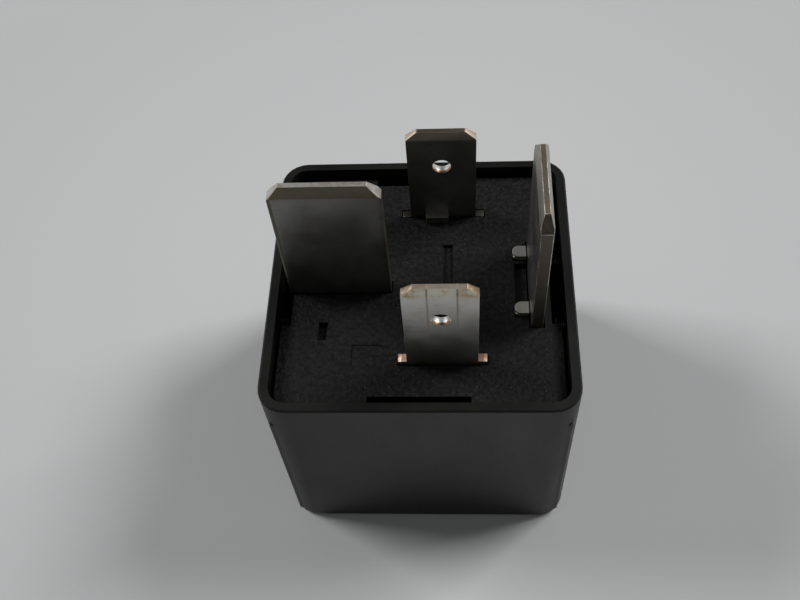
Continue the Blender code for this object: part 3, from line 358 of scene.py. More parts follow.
def base_plastic():
    """Black glass-filled plastic with the coarse grain of a spark-eroded mould: small pits and pale grits."""
    made = Finish("base_plastic", 0.5, Specular_IOR_Level=0.2)
    pits = made.noise(0.42 * MM, 3.0, 0.6)
    fine = made.noise(0.12 * MM, 2.0, 0.6, seed=0.4)
    broad = made.noise(4.0 * MM, 2.0, seed=0.2)
    grain = made.cells(0.42 * MM)
    strength = made.node("SeparateColor", grain.outputs["Color"]).outputs[0]
    grit = made.product(made.span(grain.outputs["Distance"], 0.4, 0.1), made.span(strength, 0.25, 1.0))
    tone = made.mix(made.span(pits, 0.38, 0.66), (0.0016, 0.0016, 0.0017), (0.0102, 0.0100, 0.0098))
    tone = made.mix(made.product(grit, 0.75), tone, (0.021, 0.0205, 0.0195))
    worn = made.product(made.mask("edge"), made.span(fine, 0.4, 0.65))
    tone = made.mix(made.product(worn, 0.6), tone, (0.020, 0.0195, 0.0185))
    specks = made.dust(1.1 * MM, 0.05)
    made.colour(made.mix(made.product(specks, 0.3), tone, (0.12, 0.115, 0.105)))
    made.roughness(made.span(made.math("ADD", pits, made.product(broad, 0.4)), 0.4, 0.95, 0.48, 0.7))
    made.bump((pits, 0.09 * MM), (grit, 0.03 * MM), (fine, 0.018 * MM))
    return made.material


def tinned(name, across, through, looks):
    """Tinned copper of one blade: tarnished tin on its faces, sheared edges where the copper shows.

    across is the axis along the blade's width, and through the one through its thickness. looks comes
    from blade_looks.
    """
    made = Finish(name, 0.3, 1.0)
    half, tip = looks["half"], looks["tip"]
    offset = made.math("SUBTRACT", made.axis(across), looks["middle"])
    side = made.math("ABSOLUTE", offset)
    height = made.axis("Z")
    patch = made.noise(1.5 * MM, 4.0, 0.6)
    cloud = made.noise(3.6 * MM, 3.0, 0.55, seed=0.37)
    mottle = made.noise(0.7 * MM, 4.0, 0.65, seed=0.53)
    streak = made.noise(0.5 * MM, 3.0, 0.6, made.stretched(1.0, 1.0, 0.06), 0.11)
    hair = made.noise(0.07 * MM, 2.0, 0.5, made.stretched(1.0, 1.0, 0.03), 0.23)
    scratch = made.noise(0.3 * MM, 3.0, 0.6, made.stretched(0.12, 0.12, 1.0), 0.71)

    shade = looks["shade"]
    dark, light = (tuple(part * shade for part in tone) for tone in ((0.60, 0.59, 0.54), (0.74, 0.73, 0.70)))
    tone = made.mix(made.span(cloud, 0.3, 0.7), dark, light)
    warm = tuple(part * shade for part in (0.50, 0.46, 0.35))
    tone = made.mix(made.span(patch, 0.4, 0.8, 0.0, 0.4), tone, warm)
    fine = made.product(made.span(scratch, 0.6, 0.7), made.span(mottle, 0.35, 0.6), 0.35)
    tone = made.mix(fine, tone, tuple(part * 0.55 for part in warm))

    # The bevel and the coined strip take a colour of their own, browner towards the corners: an olive
    # tarnish, darkened on terminal 30 as a painted reflection of the shaded floor in front.
    bevelled = made.span(height, tip - looks["bevel"] - 0.06 * MM, tip - looks["bevel"] + 0.06 * MM)
    coined = made.span(offset, 0.38 * MM - half, 0.3 * MM - half)
    rim = made.most(bevelled, made.product(coined, looks["coined"]))
    tone = made.mix(made.product(rim, looks["rim_share"]), tone, looks["rim"])
    corner = made.span(side, half - 2.6 * MM, half - 0.4 * MM)
    blotched = made.most(corner, made.span(mottle, 0.5, 0.66, 0.0, 0.5))
    brown = made.product(blotched, made.span(mottle, 0.42, 0.6))
    near_tip = made.span(height, tip - looks["bevel"] - 0.5 * MM, tip - looks["bevel"] + 0.2 * MM)
    tone = made.mix(made.product(near_tip, brown, looks["stained"]), tone, looks["stain"])

    # Lines that the socket's springs have rubbed into the tin on the way in
    lines = None
    for at, reach in looks["lines"]:
        line = made.span(made.math("ABSOLUTE", made.math("SUBTRACT", offset, at)), 0.13 * MM, 0.03 * MM)
        from_tip = made.span(height, tip - reach - 0.6 * MM, tip - reach)
        line = made.product(line, from_tip, made.span(streak, 0.3, 0.5))
        lines = line if lines is None else made.most(lines, line)
    if lines is not None:
        tone = made.mix(made.product(lines, 0.55), tone, (0.20, 0.18, 0.145))

    # Sheared faces: the tip, the cut corners, the long edges, the bore and the bare shoulders
    smear = made.span(made.noise(0.5 * MM, 4.0, 0.65, made.stretched(1.0, 1.0, 0.5), 0.61), 0.46, 0.6)
    strip = made.mix(smear, looks["strip"], looks["strip_worn"])
    cut_off = made.span(side, half - 1.15 * MM, half - 0.95 * MM)
    strip = made.mix(cut_off, strip, made.mix(smear, looks["corner"], looks["corner_worn"]))
    tone = made.mix(made.mask("strip"), tone, strip)
    long_edge = made.mix(made.span(mottle, 0.4, 0.62), looks["side"], looks["side_worn"])
    tone = made.mix(made.mask("side"), tone, long_edge)
    depth = made.math("SUBTRACT", made.axis(through), looks["front"])
    drawn = made.mix(made.span(depth, 0.32 * MM, 0.2 * MM), (0.80, 0.79, 0.76), (0.38, 0.22, 0.12))
    tone = made.mix(made.mask("bore"), tone, drawn)
    bare = made.product(made.mask("cut"), made.span(smear, 0.0, 1.0, 1.0, 0.6))
    copper = made.mix(made.span(patch, 0.35, 0.65), (0.56, 0.36, 0.27), (0.46, 0.27, 0.18))
    tone = made.mix(bare, tone, copper)
    # Pale eased edges: partly rubbed tin, partly a painted highlight along the edges.
    worn = made.product(made.mask("edge"), made.span(patch, 0.35, 0.6), looks["worn"])
    made.colour(made.mix(worn, tone, (0.82, 0.8, 0.76)))
    rough = made.math("ADD", made.span(cloud, 0.3, 0.75, 0.36, 0.44), made.product(rim, 0.1))
    if lines is not None:
        rough = made.math("ADD", rough, made.product(lines, 0.2))
    made.roughness(made.math("ADD", rough, made.product(made.most(bare, made.mask("side")), 0.15)))
    wave = made.noise(1.7 * MM, 2.0)
    made.bump((wave, 0.005 * MM), (streak, 0.0035 * MM), (hair, 0.0012 * MM), (scratch, 0.002 * MM))
    return made.material


def spring_bronze():
    """Rolled bronze strip: fine lines along it, light patches, faint stains and worn edges."""
    made = Finish("spring_bronze", 0.3, 1.0)
    along = made.stretched(0.08, 1.0, 1.0)
    cloud = made.noise(3.0 * MM, 4.0, 0.6)
    lines = made.noise(0.25 * MM, 3.0, 0.6, along, 0.3)
    hair = made.noise(0.06 * MM, 2.0, 0.5, along, 0.8)
    tone = made.mix(made.span(cloud, 0.3, 0.7), (0.60, 0.38, 0.2), (0.72, 0.5, 0.29))
    marks = made.product(made.span(made.noise(0.9 * MM, 4.0, 0.65, seed=0.2), 0.52, 0.7), 0.25)
    tone = made.mix(marks, tone, (0.30, 0.27, 0.22))
    worn = made.product(made.mask("edge"), made.span(cloud, 0.3, 0.6), 0.7)
    made.colour(made.mix(worn, tone, (0.864, 0.6, 0.348)))
    rolled = made.span(lines, 0.3, 0.7, 0.24, 0.38)
    made.roughness(made.math("ADD", rolled, made.product(marks, 0.4)))
    made.bump((made.noise(2.0 * MM, 2.0), 0.01 * MM), (lines, 0.004 * MM), (hair, 0.0015 * MM))
    return made.material


def zinc_plated():
    """Zinc plate on soft iron: a bluish spangle under a thin clear passivation."""
    made = Finish("zinc_plated_iron", 0.35, 1.0)
    grains = made.cells(0.5 * MM)
    pick = made.node("SeparateColor", grains.outputs["Color"]).outputs[0]
    cloud = made.noise(3.5 * MM, 4.0, 0.6)
    tone = made.mix(made.span(pick, 0.0, 1.0), (0.50, 0.52, 0.54), (0.60, 0.61, 0.61))
    tone = made.mix(made.span(cloud, 0.45, 0.75, 0.0, 0.5), tone, (0.58, 0.53, 0.42))
    rust = made.product(made.mask("edge"), made.span(made.noise(0.7 * MM, 4.0, 0.7, seed=0.6), 0.56, 0.66))
    tone = made.mix(made.product(rust, 0.6), tone, (0.26, 0.14, 0.07))
    made.colour(tone)
    lines = made.noise(0.3 * MM, 3.0, 0.6, made.stretched(1.0, 0.1, 1.0), 0.4)
    made.roughness(made.math("ADD", made.span(cloud, 0.3, 0.7, 0.26, 0.4), made.product(rust, 0.3)))
    made.bump((cloud, 0.012 * MM), (lines, 0.004 * MM), (pick, 0.0015 * MM))
    return made.material


def bobbin_plastic():
    """Natural glass-filled nylon: warm off-white, a little see-through, with flow lines and flecks."""
    made = Finish("bobbin_plastic", 0.45, 0.0, Subsurface_Weight=0.12, Subsurface_Scale=0.4 * MM)
    made.shader.inputs["Subsurface Radius"].default_value = (1.0, 0.7, 0.45)
    cloud = made.noise(2.5 * MM, 4.0, 0.6)
    fibre = made.noise(0.12 * MM, 2.0, 0.5, made.stretched(1.0, 0.15, 1.0), 0.5)
    tone = made.mix(made.span(cloud, 0.3, 0.7), (0.50, 0.47, 0.38), (0.60, 0.57, 0.49))
    tone = made.mix(made.span(fibre, 0.55, 0.8, 0.0, 0.4), tone, (0.70, 0.67, 0.60))
    made.colour(made.mix(made.product(made.mask("edge"), 0.3), tone, (0.72, 0.7, 0.64)))
    made.roughness(made.span(cloud, 0.3, 0.7, 0.4, 0.55))
    made.bump((made.noise(0.2 * MM, 3.0), 0.01 * MM), (fibre, 0.004 * MM))
    return made.material


def tape_film():
    """Amber polyester tape: glossy film with the wire's ridges showing through and darker stains."""
    made = Finish("tape_film", 0.22, 0.0, Coat_Weight=0.5, Coat_Roughness=0.12)
    cloud = made.noise(2.2 * MM, 4.0, 0.6)
    ridges = made.noise(0.2 * MM, 1.0, 0.4, made.stretched(0.05, 0.05, 1.0), 0.6)
    tone = made.mix(made.span(cloud, 0.3, 0.7), (0.52, 0.27, 0.035), (0.66, 0.40, 0.07))
    tone = made.mix(made.span(ridges, 0.4, 0.65, 0.0, 0.35), tone, (0.34, 0.15, 0.03))
    made.colour(made.mix(made.product(made.mask("edge"), 0.5), tone, (0.75, 0.55, 0.2)))
    made.roughness(made.span(made.noise(0.9 * MM, 3.0, seed=0.1), 0.3, 0.7, 0.16, 0.32))
    made.bump((ridges, 0.015 * MM), (made.noise(1.2 * MM, 2.0, seed=0.3), 0.03 * MM))
    return made.material


def enamelled_wire():
    """Copper wire under red-brown enamel, one turn a little darker than the next."""
    made = Finish("enamelled_wire", 0.3, 0.85, Coat_Weight=0.8, Coat_Roughness=0.12)
    turn = made.noise(0.3 * MM, 1.0, 0.4, made.stretched(0.03, 0.03, 1.0))
    cloud = made.noise(1.6 * MM, 3.0, seed=0.4)
    tone = made.mix(made.span(turn, 0.35, 0.65), (0.40, 0.12, 0.045), (0.62, 0.24, 0.09))
    made.colour(made.mix(made.span(cloud, 0.45, 0.75, 0.0, 0.4), tone, (0.30, 0.09, 0.04)))
    made.roughness(made.span(cloud, 0.3, 0.7, 0.24, 0.4))
    made.bump((made.noise(0.12 * MM, 2.0, seed=0.2), 0.004 * MM))
    return made.material


def braid_copper():
    """Soft copper wire, browned here and there."""
    made = Finish("bare_copper", 0.36, 1.0)
    cloud = made.noise(1.2 * MM, 4.0, 0.6)
    tone = made.mix(made.span(cloud, 0.35, 0.7), (0.80, 0.42, 0.25), (0.52, 0.25, 0.13))
    bright = made.span(made.noise(0.25 * MM, 2.0, seed=0.5), 0.5, 0.8, 0.0, 0.5)
    made.colour(made.mix(bright, tone, (0.9, 0.56, 0.38)))
    made.roughness(made.span(cloud, 0.3, 0.7, 0.28, 0.5))
    made.bump((made.noise(0.08 * MM, 2.0), 0.003 * MM))
    return made.material


def contact_silver():
    """Silver alloy: satin, with faint sooty rings where it has switched."""
    made = Finish("contact_silver", 0.3, 1.0)
    offset = made.node("VectorMath", made.where, CONTACT_AXIS, operation="SUBTRACT")
    flat = made.node("VectorMath", offset.outputs[0], (1.0, 1.0, 0.0), operation="MULTIPLY")
    radius = made.node("VectorMath", flat.outputs[0], operation="LENGTH").outputs["Value"]
    cloud = made.noise(0.35 * MM, 4.0, 0.65)
    soot = made.product(made.span(radius, 0.95 * MM, 0.3 * MM), made.span(cloud, 0.4, 0.62), 0.75)
    tone = made.mix(made.span(cloud, 0.3, 0.7), (0.74, 0.73, 0.69), (0.86, 0.85, 0.82))
    made.colour(made.mix(soot, tone, (0.16, 0.14, 0.12)))
    made.roughness(made.math("ADD", made.span(cloud, 0.3, 0.7, 0.24, 0.36), made.product(soot, 0.25)))
    made.bump((cloud, 0.008 * MM), (made.noise(0.09 * MM, 2.0, seed=0.4), 0.003 * MM))
    return made.material


def pale_floor():
    """A matt pale sheet, faintly mottled, with a painted light falloff that makes it a little greyer away
    from the relay.
    """
    made = Finish("pale_floor", 0.8, Specular_IOR_Level=0.2)
    cloud = made.noise(60.0 * MM, 3.0)
    flat = made.node("VectorMath", made.where, (0.0, -14.0 * MM, 0.0), operation="ADD").outputs[0]
    away = made.node("VectorMath", flat, operation="LENGTH").outputs["Value"]
    tone = made.mix(made.span(cloud, 0.3, 0.7), (0.610, 0.614, 0.618), (0.620, 0.622, 0.624))
    # Painted light falloff: the sheet's colour greys with distance from the relay.
    made.colour(made.mix(made.span(away, 15.0 * MM, 80.0 * MM), tone, (0.55, 0.553, 0.556)))
    made.bump((made.noise(0.6 * MM, 3.0), 0.01 * MM))
    return made.material


# ---------------------------------------------------------------- mesh helpers

def publish(name, bm, material, smooth_angle=40.0):
    """A mesh object with soft shading over its small edges and true normals on its flats."""
    mesh = bpy.data.meshes.new(name)
    bm.to_mesh(mesh)
    bm.free()
    mesh.materials.append(material)
    mesh.shade_smooth()
    mesh.set_sharp_from_angle(angle=math.radians(smooth_angle))
    made = bpy.data.objects.new(name, mesh)
    bpy.context.scene.collection.objects.link(made)
    weigh = made.modifiers.new("weighted", "WEIGHTED_NORMAL")
    weigh.keep_sharp = True
    weigh.weight = 80
    return made


def show(piece, body, slot, *nodes):
    """The piece rides on a body and stands for those CAD nodes, which it hides. slot is not used."""
    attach(piece, body)
    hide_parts(*nodes)


def eased(node, name, body, slot, material, width, marks=None, sharp=SHARP):
    """A finer copy of a CAD node: its outer edges are eased, and its faces are marked for wear and cuts.

    marks gives the name of a mask for a face's centre and normal, or None.
    """
    bm = bmesh.new()
    bm.from_mesh(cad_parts[node].data)
    bmesh.ops.remove_doubles(bm, verts=bm.verts, dist=0.003 * MM)
    bmesh.ops.dissolve_limit(bm, angle_limit=math.radians(1.0), verts=bm.verts, edges=bm.edges)
    masks = {mask: bm.faces.layers.float.new(mask) for mask in MASKS}
    if marks is not None:
        for face in bm.faces:
            mask = marks(face.calc_center_median(), face.normal)
            if mask is not None:
                face[masks[mask]] = 1.0
    chosen = [
        edge for edge in bm.edges
        if len(edge.link_faces) == 2 and edge.is_convex and edge.calc_face_angle() > math.radians(sharp)
    ]
    eased_faces = bmesh.ops.bevel(
        bm, geom=chosen, offset=width, segments=EASE_STEPS, profile=0.5, affect="EDGES", clamp_overlap=True
    )["faces"]
    for face in eased_faces:
        face[masks["edge"]] = 1.0
    show(publish(name, bm, material), body, slot, node)


def turned(name, profile, centre, steps, material, wobble):
    """A closed ring of (radius, height) points turned about a vertical axis.

    wobble gives what is added to a point's radius at an angle.
    """
    bm = bmesh.new()
    rings = []
    for i in range(steps):
        angle = 2 * math.pi * i / steps
        ring = []
        for k, (radius, height) in enumerate(profile):
            reach = radius + wobble(k, angle)
            x, y = centre.x + reach * math.cos(angle), centre.y + reach * math.sin(angle)
            ring.append(bm.verts.new((x, y, height)))
        rings.append(ring)
    count = len(profile)
    for i in range(steps):
        here, after = rings[i], rings[(i + 1) % steps]
        for k in range(count):
            j = (k + 1) % count
            bm.faces.new((here[k], after[k], after[j], here[j]))
    bmesh.ops.recalc_face_normals(bm, faces=bm.faces)
    return publish(name, bm, material, 80.0)


def add_tube(bm, points, radius, sides):
    """A round wire with closed ends through the points."""
    rings = []
    normal = None
    for i, point in enumerate(points):
        along = (points[min(i + 1, len(points) - 1)] - points[max(i - 1, 0)]).normalized()
        if normal is None:
            normal = along.orthogonal().normalized()
        normal = (normal - along * normal.dot(along)).normalized()
        other = along.cross(normal)
        ring = []
        for k in range(sides):
            angle = 2 * math.pi * k / sides
            ring.append(bm.verts.new(point + (normal * math.cos(angle) + other * math.sin(angle)) * radius))
        rings.append(ring)
    for here, after in zip(rings, rings[1:]):
        for k in range(sides):
            j = (k + 1) % sides
            bm.faces.new((here[k], here[j], after[j], after[k]))
    bm.faces.new(rings[0][::-1])
    bm.faces.new(rings[-1])


def curve_through(anchors, steps):
    """A Catmull-Rom curve through the anchors."""
    ends = [anchors[0] * 2 - anchors[1]] + anchors + [anchors[-1] * 2 - anchors[-2]]
    found = []
    for i in range(1, len(ends) - 2):
        a, b, c, d = ends[i - 1:i + 3]
        for k in range(steps):
            t = k / steps
            square, cube = (2 * a - 5 * b + 4 * c - d) * t**2, (3 * b - a - 3 * c + d) * t**3
            found.append(0.5 * (2 * b + (c - a) * t + square + cube))
    return found + [anchors[-1]]


def opened(point, share):
    """Where a point of the closed relay lies at rest, if it takes that share of the armature's turn."""
    turn = Matrix.Rotation(OPEN_ANGLE * share, 4, "Y")
    return HINGE + turn @ (point - HINGE)


# ---------------------------------------------------------------- pieces

def build_case(materials):
    """The cover and the base plate."""
    eased("cover", "cover_shell", "case", "cover_plastic", materials["cover"], COVER_EASE)
    eased("base_plate", "base_moulding", "works", "base_plastic", materials["base"], MOULDED_EASE)


def blade_looks(node, numbers):
    """A blade's looks in metres, with its tip and front face."""
    lengths = ("middle", "plane", "thick", "half", "bevel")
    looks = {key: value * MM if key in lengths else value for key, value in numbers.items()}
    looks["lines"] = [(at * MM, reach * MM) for at, reach in numbers["lines"]]
    looks["tip"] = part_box(node)[1].z
    looks["front"] = looks["plane"] - looks["thick"] / 2
    return looks


def blade_marks(looks, across, through):
    """Marks a blade's sheared faces: the tip and its cut corners, the long edges, the hole, the shoulders."""
    holed = looks["thick"] < BLADE_30["thick"] * MM

    def marks(centre, normal):
        if abs(getattr(normal, through)) > LEANING or centre.z < PLATE_TOP - BELOW_TOP:
            return None
        above = centre.z > PLATE_TOP + ABOVE_FOOT
        off_side = abs(getattr(centre, across) - looks["middle"])
        if holed and off_side < HOLE_REACH and centre.z < looks["tip"] - TIP_REACH:
            return "bore" if above else None
        if above:
            return "strip" if normal.z > LEANING else "side"
        return "cut" if normal.z > LEVEL and looks["front"] < 0.0 else "side"

    return marks


def build_blades():
    """The four blades and the contact carrier, each with its own finish and its cut faces marked."""
    for node, across, through, numbers in (
        ("terminal_30", "X", "Y", BLADE_30),
        ("terminal_87", "Y", "X", BLADE_87),
        ("terminal_85", "X", "Y", BLADE_85),
        ("terminal_86", "X", "Y", BLADE_86),
    ):
        looks = blade_looks(node, numbers)
        marks = blade_marks(looks, across.lower(), through.lower())
        finish = tinned(node + "_tin", across, through, looks)
        eased(node, node.replace("terminal", "blade"), "works", "tinned_copper", finish, BLADE_EASE, marks)

    def staked(centre, _):
        return "cut" if centre.x > LUG_COPPER_X and centre.z > PLATE_TOP else None

    finish = tinned("carrier_tin", "Y", "X", blade_looks("fixed_contact_carrier", CARRIER))
    eased("fixed_contact_carrier", "contact_carrier", "works", "tinned_copper", finish, BLADE_EASE, staked)


def build_coil(materials):
    """The coil: bobbin, wound wire and tape."""
    eased("coil_bobbin", "bobbin_moulding", "works", "bobbin_plastic", materials["bobbin"], MOULDED_EASE)
    random.seed(7)
    low, high = WINDING_HEIGHTS
    rows = int((high - low) / WIRE_PITCH)
    shifts = [random.uniform(-WIRE_SHIFT, WIRE_SHIFT) * MM for _ in range(rows)]
    profile, row_of = [(WINDING_INNER, low)], [0]
    pitch = (high - low) / rows
    for row in range(rows):
        for share, dip in ROW_SECTION:
            radius = WINDING_OUTER - ROW_INSET - dip * MM + shifts[row]
            profile.append((radius, low + pitch * (row + share)))
            row_of.append(row)
    profile += [(WINDING_OUTER - END_INSET, high), (WINDING_INNER, high)]
    row_of += [0, 0]
    phases = [random.uniform(0.0, 6.28) for _ in range(rows)]

    def wobble(k, angle):
        return WIRE_WOBBLE * math.sin(2 * angle + phases[row_of[k]])

    winding = turned("wound_wire", profile, AXIS, WINDING_STEPS, materials["wire"], wobble)
    show(winding, "works", "enamelled_wire", "coil_winding")
    show(wrap_tape(materials["tape"]), "works", "tape_film", "coil_tape")


def wrap_tape(material):
    """One wrap of tape whose end overlaps its start, with slightly uneven edges."""
    bm = bmesh.new()
    edge_layer = bm.faces.layers.float.new("edge")
    rings = []
    for i in range(TAPE_STEPS + TAPE_LAP + 1):
        angle = TAPE_START + 2 * math.pi * i / TAPE_STEPS
        lift = max(0.0, min(1.0, (i - TAPE_STEPS + 3) / 3)) * TAPE_LIFT
        inner, outer = TAPE_INNER + lift, TAPE_INNER + lift + TAPE_THICK
        low, high = (height + TAPE_SWAY * math.sin(angle * 1.5) for height in TAPE_HEIGHTS)
        ring = []
        for radius, z in ((inner, low), (outer, low), (outer, high), (inner, high)):
            x, y = AXIS.x + radius * math.cos(angle), AXIS.y + radius * math.sin(angle)
            ring.append(bm.verts.new((x, y, z)))
        rings.append(ring)
    for here, after in zip(rings, rings[1:]):
        for k in range(4):
            j = (k + 1) % 4
            face = bm.faces.new((here[k], after[k], after[j], here[j]))
            face[edge_layer] = 1.0 if k in (0, 2) else 0.0
    bm.faces.new(rings[0])[edge_layer] = 1.0
    bm.faces.new(rings[-1][::-1])[edge_layer] = 1.0
    bmesh.ops.recalc_face_normals(bm, faces=bm.faces)
    return publish("coil_tape_wrap", bm, material, 50.0)


def build_wire_ends(materials):
    """Each end of the coil's wire: turns round a terminal's tail, then a slack run to the winding."""
    for node, blade, inward in (("coil_wire_85", BLADE_85, 1), ("coil_wire_86", BLADE_86, -1)):
        x, y = blade["middle"] * MM, blade["plane"] * MM
        half_x, half_y = (half + LEAD_CLEAR for half in TAIL_HALVES)
        corners = [(half_x, inward * half_y), (-half_x, inward * half_y)]
        corners += [(-half_x, -inward * half_y), (half_x, -inward * half_y)]
        points = []
        for i in range(WRAP_SIDES):
            here, after = corners[i % 4], corners[(i + 1) % 4]
            for share in WRAP_SHARES:
                dx = here[0] + (after[0] - here[0]) * share
                dy = here[1] + (after[1] - here[1]) * share
                spread = 1.0 + WRAP_BOW * math.sin(math.pi * share) / max(half_x, half_y)
                z = WRAP_TOP - WRAP_PITCH * (i + share) / 4
                points.append(Vector((x + dx * spread, y + dy * spread, z)))
        end = points[-1]
        reach = end.x - SLACK_END.x - AXIS.x
        surface = AXIS.y - inward * math.sqrt(WINDING_OUTER**2 - reach**2)
        for slack, depth in (
            (SLACK_START, end.y + inward * SLACK_START.y),
            (SLACK_MIDDLE, (end.y + surface) / 2),
            (SLACK_END, surface - inward * SLACK_END.y),
        ):
            points.append(Vector((end.x - slack.x, depth, end.z - slack.z)))
        bm = bmesh.new()
        add_tube(bm, curve_through(points, 2), LEAD_RADIUS, 8)
        show(publish(node + "_end", bm, materials["wire"], 60.0), "works", "enamelled_wire", node)


def build_magnet(materials):
    """Yoke, core and rivets on the works, and the armature with its rivets."""
    for node, name, width in (("yoke", "yoke_bracket", IRON_EASE), ("coil_core", "core_pin", CORE_EASE)):
        eased(node, name, "works", "iron", materials["zinc"], width)
    eased("armature", "armature_plate", "moving_armature", "iron", materials["zinc"], IRON_EASE)
    for side in ("front", "back"):
        for start, body in (("hinge_spring_rivet_", "works"), ("armature_rivet_", "moving_armature")):
            node = start + side
            eased(node, node + "_head", body, "iron", materials["zinc"], RIVET_EASE, sharp=ROUND_SHARP)


def build_contacts(materials):
    """The two contact rivets."""
    for node, body in (("fixed_contact", "works"), ("moving_contact", "moving_armature")):
        silver = materials["silver"]
        eased(node, node + "_rivet", body, "contact_silver", silver, CONTACT_EASE, sharp=ROUND_SHARP)


def leaf_half_width(point):
    """Half the leaf spring's width at a point of its middle line."""
    x, z = point.x / MM, point.z / MM
    waist, widest = LEG_WAIST
    taper, neck = LEAF_TAPER
    if z > widest:
        half = LEG_HALF - max(0.0, z - LEG_CORNER) * LEG_SLOPE
    elif z > waist and x < LEG_SIDE:
        half = LEAF_HALF + (LEG_HALF - LEAF_HALF) * (z - waist) / (widest - waist)
    elif x < taper:
        half = LEAF_HALF
    elif x < neck:
        half = LEAF_HALF - (LEAF_HALF - NECK_HALF) * (x - taper)
    elif x < LEAF_TIP:
        half = NECK_HALF
    else:
        half = NECK_HALF - TIP_SLOPE * (x - LEAF_TIP)
    return half * MM


def build_leaf(materials):
    """The leaf spring in one piece, from the yoke, round its knee and under the armature to its tip."""
    path = [Vector((LEG_X, AXIS.y, z * MM)) for z in LEG_HEIGHTS]
    turn_start = math.degrees(math.acos((LEG_X - KNEE.x) / KNEE_RADIUS))
    for i in range(KNEE_STEPS + 1):
        angle = math.radians(turn_start + (KNEE_END - turn_start) * i / KNEE_STEPS)
        path.append(KNEE + Vector((KNEE_RADIUS * math.cos(angle), 0.0, KNEE_RADIUS * math.sin(angle))))
    path += [Vector((x * MM, AXIS.y, LEAF_Z)) for x in LEAF_PLACES]
    top, bottom = BEND_HEIGHTS

    bm = bmesh.new()
    edge_layer = bm.faces.layers.float.new("edge")
    rings = []
    for i, point in enumerate(path):
        along = (path[min(i + 1, len(path) - 1)] - path[max(i - 1, 0)]).normalized()
        normal = along.cross(Vector((0.0, 1.0, 0.0)))
        share = max(0.0, min(1.0, (top - point.z) / (top - bottom)))
        share = share * share * (3 - 2 * share)
        half, skin = leaf_half_width(point), LEAF_THICK / 2
        inner, low = half - LEAF_EASE, skin - LEAF_EASE
        section = [(-half, -low), (-inner, -skin), (inner, -skin), (half, -low)]
        section += [(half, low), (inner, skin), (-inner, skin), (-half, low)]
        ring = []
        for across, lift in section:
            place = point + Vector((0.0, across, 0.0)) + normal * lift
            ring.append(bm.verts.new(opened(place, share)))
        rings.append(ring)
    for here, after in zip(rings, rings[1:]):
        for k in range(8):
            j = (k + 1) % 8
            face = bm.faces.new((here[k], here[j], after[j], after[k]))
            face[edge_layer] = 0.0 if k in (1, 5) else 1.0
    bm.faces.new(rings[0][::-1])[edge_layer] = 1.0
    bm.faces.new(rings[-1])[edge_layer] = 1.0
    bmesh.ops.recalc_face_normals(bm, faces=bm.faces)
    leaf = publish("leaf_spring", bm, materials["bronze"], 35.0)
    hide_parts("hinge_spring", "contact_spring")
    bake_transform(leaf)


def build_braid(materials):
    """The copper braid: strands of fine wire woven over and under each other round a flat core."""
    path = curve_through([Vector((x * MM, BRAID_Y, z * MM)) for x, z in BRAID_POINTS], 10)
    lengths = [0.0]
    for before, after in zip(path, path[1:]):
        lengths.append(lengths[-1] + (after - before).length)
    whole = lengths[-1]
    half_wide, half_thick = BRAID_HALF

    def centre_at(s):
        """The point that far along the braid, and the direction it runs in there."""
        for i in range(len(lengths) - 1):
            if s <= lengths[i + 1] or i == len(lengths) - 2:
                t = (s - lengths[i]) / max(lengths[i + 1] - lengths[i], 1e-9)
                along = (path[i + 1] - path[i]).normalized()
                return path[i].lerp(path[i + 1], t), along

    bm = bmesh.new()
    frames = [centre_at(whole * i / BRAID_SAMPLES) for i in range(BRAID_SAMPLES + 1)]
    for direction in (-1, 1):
        for carrier in range(BRAID_CARRIERS):
            for wire in range(CARRIER_WIRES):
                beside = (wire - (CARRIER_WIRES - 1) / 2) * STRAND_SPREAD
                points = []
                for i in range(BRAID_SAMPLES + 1):
                    s = whole * i / BRAID_SAMPLES
                    centre, along = frames[i]
                    middle = 2 * math.pi * (carrier / BRAID_CARRIERS + direction * s / BRAID_PITCH)
                    angle = middle + beside
                    out = direction * WEAVE_DEPTH * math.sin(BRAID_CARRIERS * middle)
                    pressed = min(1.0, s / PRESSED, (whole - s) / PRESSED)
                    lift = math.sin(angle) * half_thick * (PRESSED_SHARE + (1.0 - PRESSED_SHARE) * pressed)
                    sign = 1.0 if math.sin(angle) >= 0 else -1.0
                    wide = math.cos(angle)
                    wide = math.copysign(abs(wide) ** BRAID_SQUARE, wide) * half_wide
                    normal = along.cross(Vector((0.0, 1.0, 0.0))).normalized()
                    points.append(centre + Vector((0.0, wide, 0.0)) + normal * (lift + sign * out * pressed))
                add_tube(bm, points, STRAND_RADIUS, 5)
    for s in (PAD_INSET, whole - PAD_INSET):
        centre, along = centre_at(s)
        add_weld_pad(bm, centre, along)
    braid = publish("shunt_braid_weave", bm, materials["copper"], 80.0)
    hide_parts("shunt_braid")
    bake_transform(braid)


def add_weld_pad(bm, centre, along):
    """The end of the braid where it is welded flat: a pillow with rounded sides."""
    normal = along.cross(Vector((0.0, 1.0, 0.0))).normalized()
    across = Vector((0.0, 1.0, 0.0))
    made = bmesh.ops.create_cube(bm, size=1.0)["verts"]
    turn = Matrix((along, across, normal)).transposed()
    for vert in made:
        vert.co = centre + turn @ Vector(part * scale for part, scale in zip(vert.co, PAD_SIZE))
    edges = {edge for vert in made for edge in vert.link_edges}
    bmesh.ops.bevel(bm, geom=list(edges), offset=PAD_EASE, segments=3, profile=0.5, affect="EDGES")


# ---------------------------------------------------------------- stage, light and camera

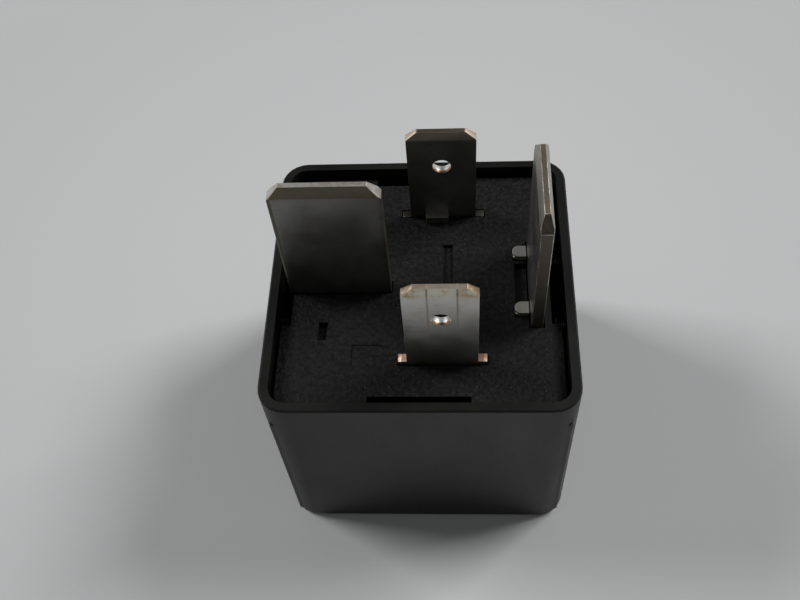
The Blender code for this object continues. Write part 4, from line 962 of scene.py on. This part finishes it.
def build_stage():
    """The floor, and a plain pale studio round it."""
    bm = bmesh.new()
    bmesh.ops.create_grid(bm, x_segments=8, y_segments=8, size=FLOOR_REACH)
    floor = publish("floor_sheet", bm, pale_floor())
    floor.location.z = -FLOOR_DROP
    world = bpy.data.worlds.new("studio")
    bpy.context.scene.world = world
    world.use_nodes = True
    tree = world.node_tree
    up = tree.nodes.new("ShaderNodeSeparateXYZ")
    tree.links.new(tree.nodes.new("ShaderNodeTexCoord").outputs["Generated"], up.inputs[0])
    # Pale at the horizon, so that the floor meets no dark edge, and dim overhead
    fade = tree.nodes.new("ShaderNodeMapRange")
    fade.interpolation_type = "SMOOTHSTEP"
    for socket, value in zip(fade.inputs[1:5], STUDIO_FADE):
        socket.default_value = value
    tree.links.new(up.outputs["Z"], fade.inputs[0])
    ground = tree.nodes["Background"]
    ground.inputs["Color"].default_value = STUDIO_COLOUR
    tree.links.new(fade.outputs[0], ground.inputs["Strength"])


def soft_light(name, bearing, height, size, power):
    """A square softbox aimed at the relay, with its bearing from +Y towards +X and its height in degrees."""
    bearing, height = math.radians(bearing), math.radians(height)
    flat = math.cos(height)
    aim = Vector((math.sin(bearing) * flat, math.cos(bearing) * flat, math.sin(height)))
    lamp = bpy.data.lights.new(name, "AREA")
    lamp.shape = "RECTANGLE"
    lamp.size = size
    lamp.size_y = size
    lamp.energy = power
    made = bpy.data.objects.new(name, lamp)
    made.location = aim * LIGHT_DISTANCE
    made.rotation_euler = aim.to_track_quat("Z", "Y").to_euler()
    bpy.context.scene.collection.objects.link(made)


def build_lights():
    for name, numbers in SOFTBOXES.items():
        soft_light(name, *numbers)


def build_camera():
    camera = bpy.data.cameras.new("camera")
    camera.lens = CAMERA_LENS
    camera.sensor_width = 36.0
    camera.clip_start = 0.001
    made = bpy.data.objects.new("camera", camera)
    made.location = CAMERA_PLACE
    made.rotation_euler = CAMERA_TURN
    bpy.context.scene.collection.objects.link(made)
    bpy.context.scene.camera = made


def build():
    bpy.context.scene.view_settings.view_transform = "Standard"
    materials = {
        "cover": cover_plastic(),
        "base": base_plastic(),
        "zinc": zinc_plated(),
        "bobbin": bobbin_plastic(),
        "tape": tape_film(),
        "wire": enamelled_wire(),
        "copper": braid_copper(),
        "silver": contact_silver(),
        "bronze": spring_bronze(),
    }
    build_camera()
    build_case(materials)
    build_blades()
    build_coil(materials)
    build_wire_ends(materials)
    build_magnet(materials)
    build_contacts(materials)
    build_leaf(materials)
    build_braid(materials)
    build_stage()
    build_lights()


build()
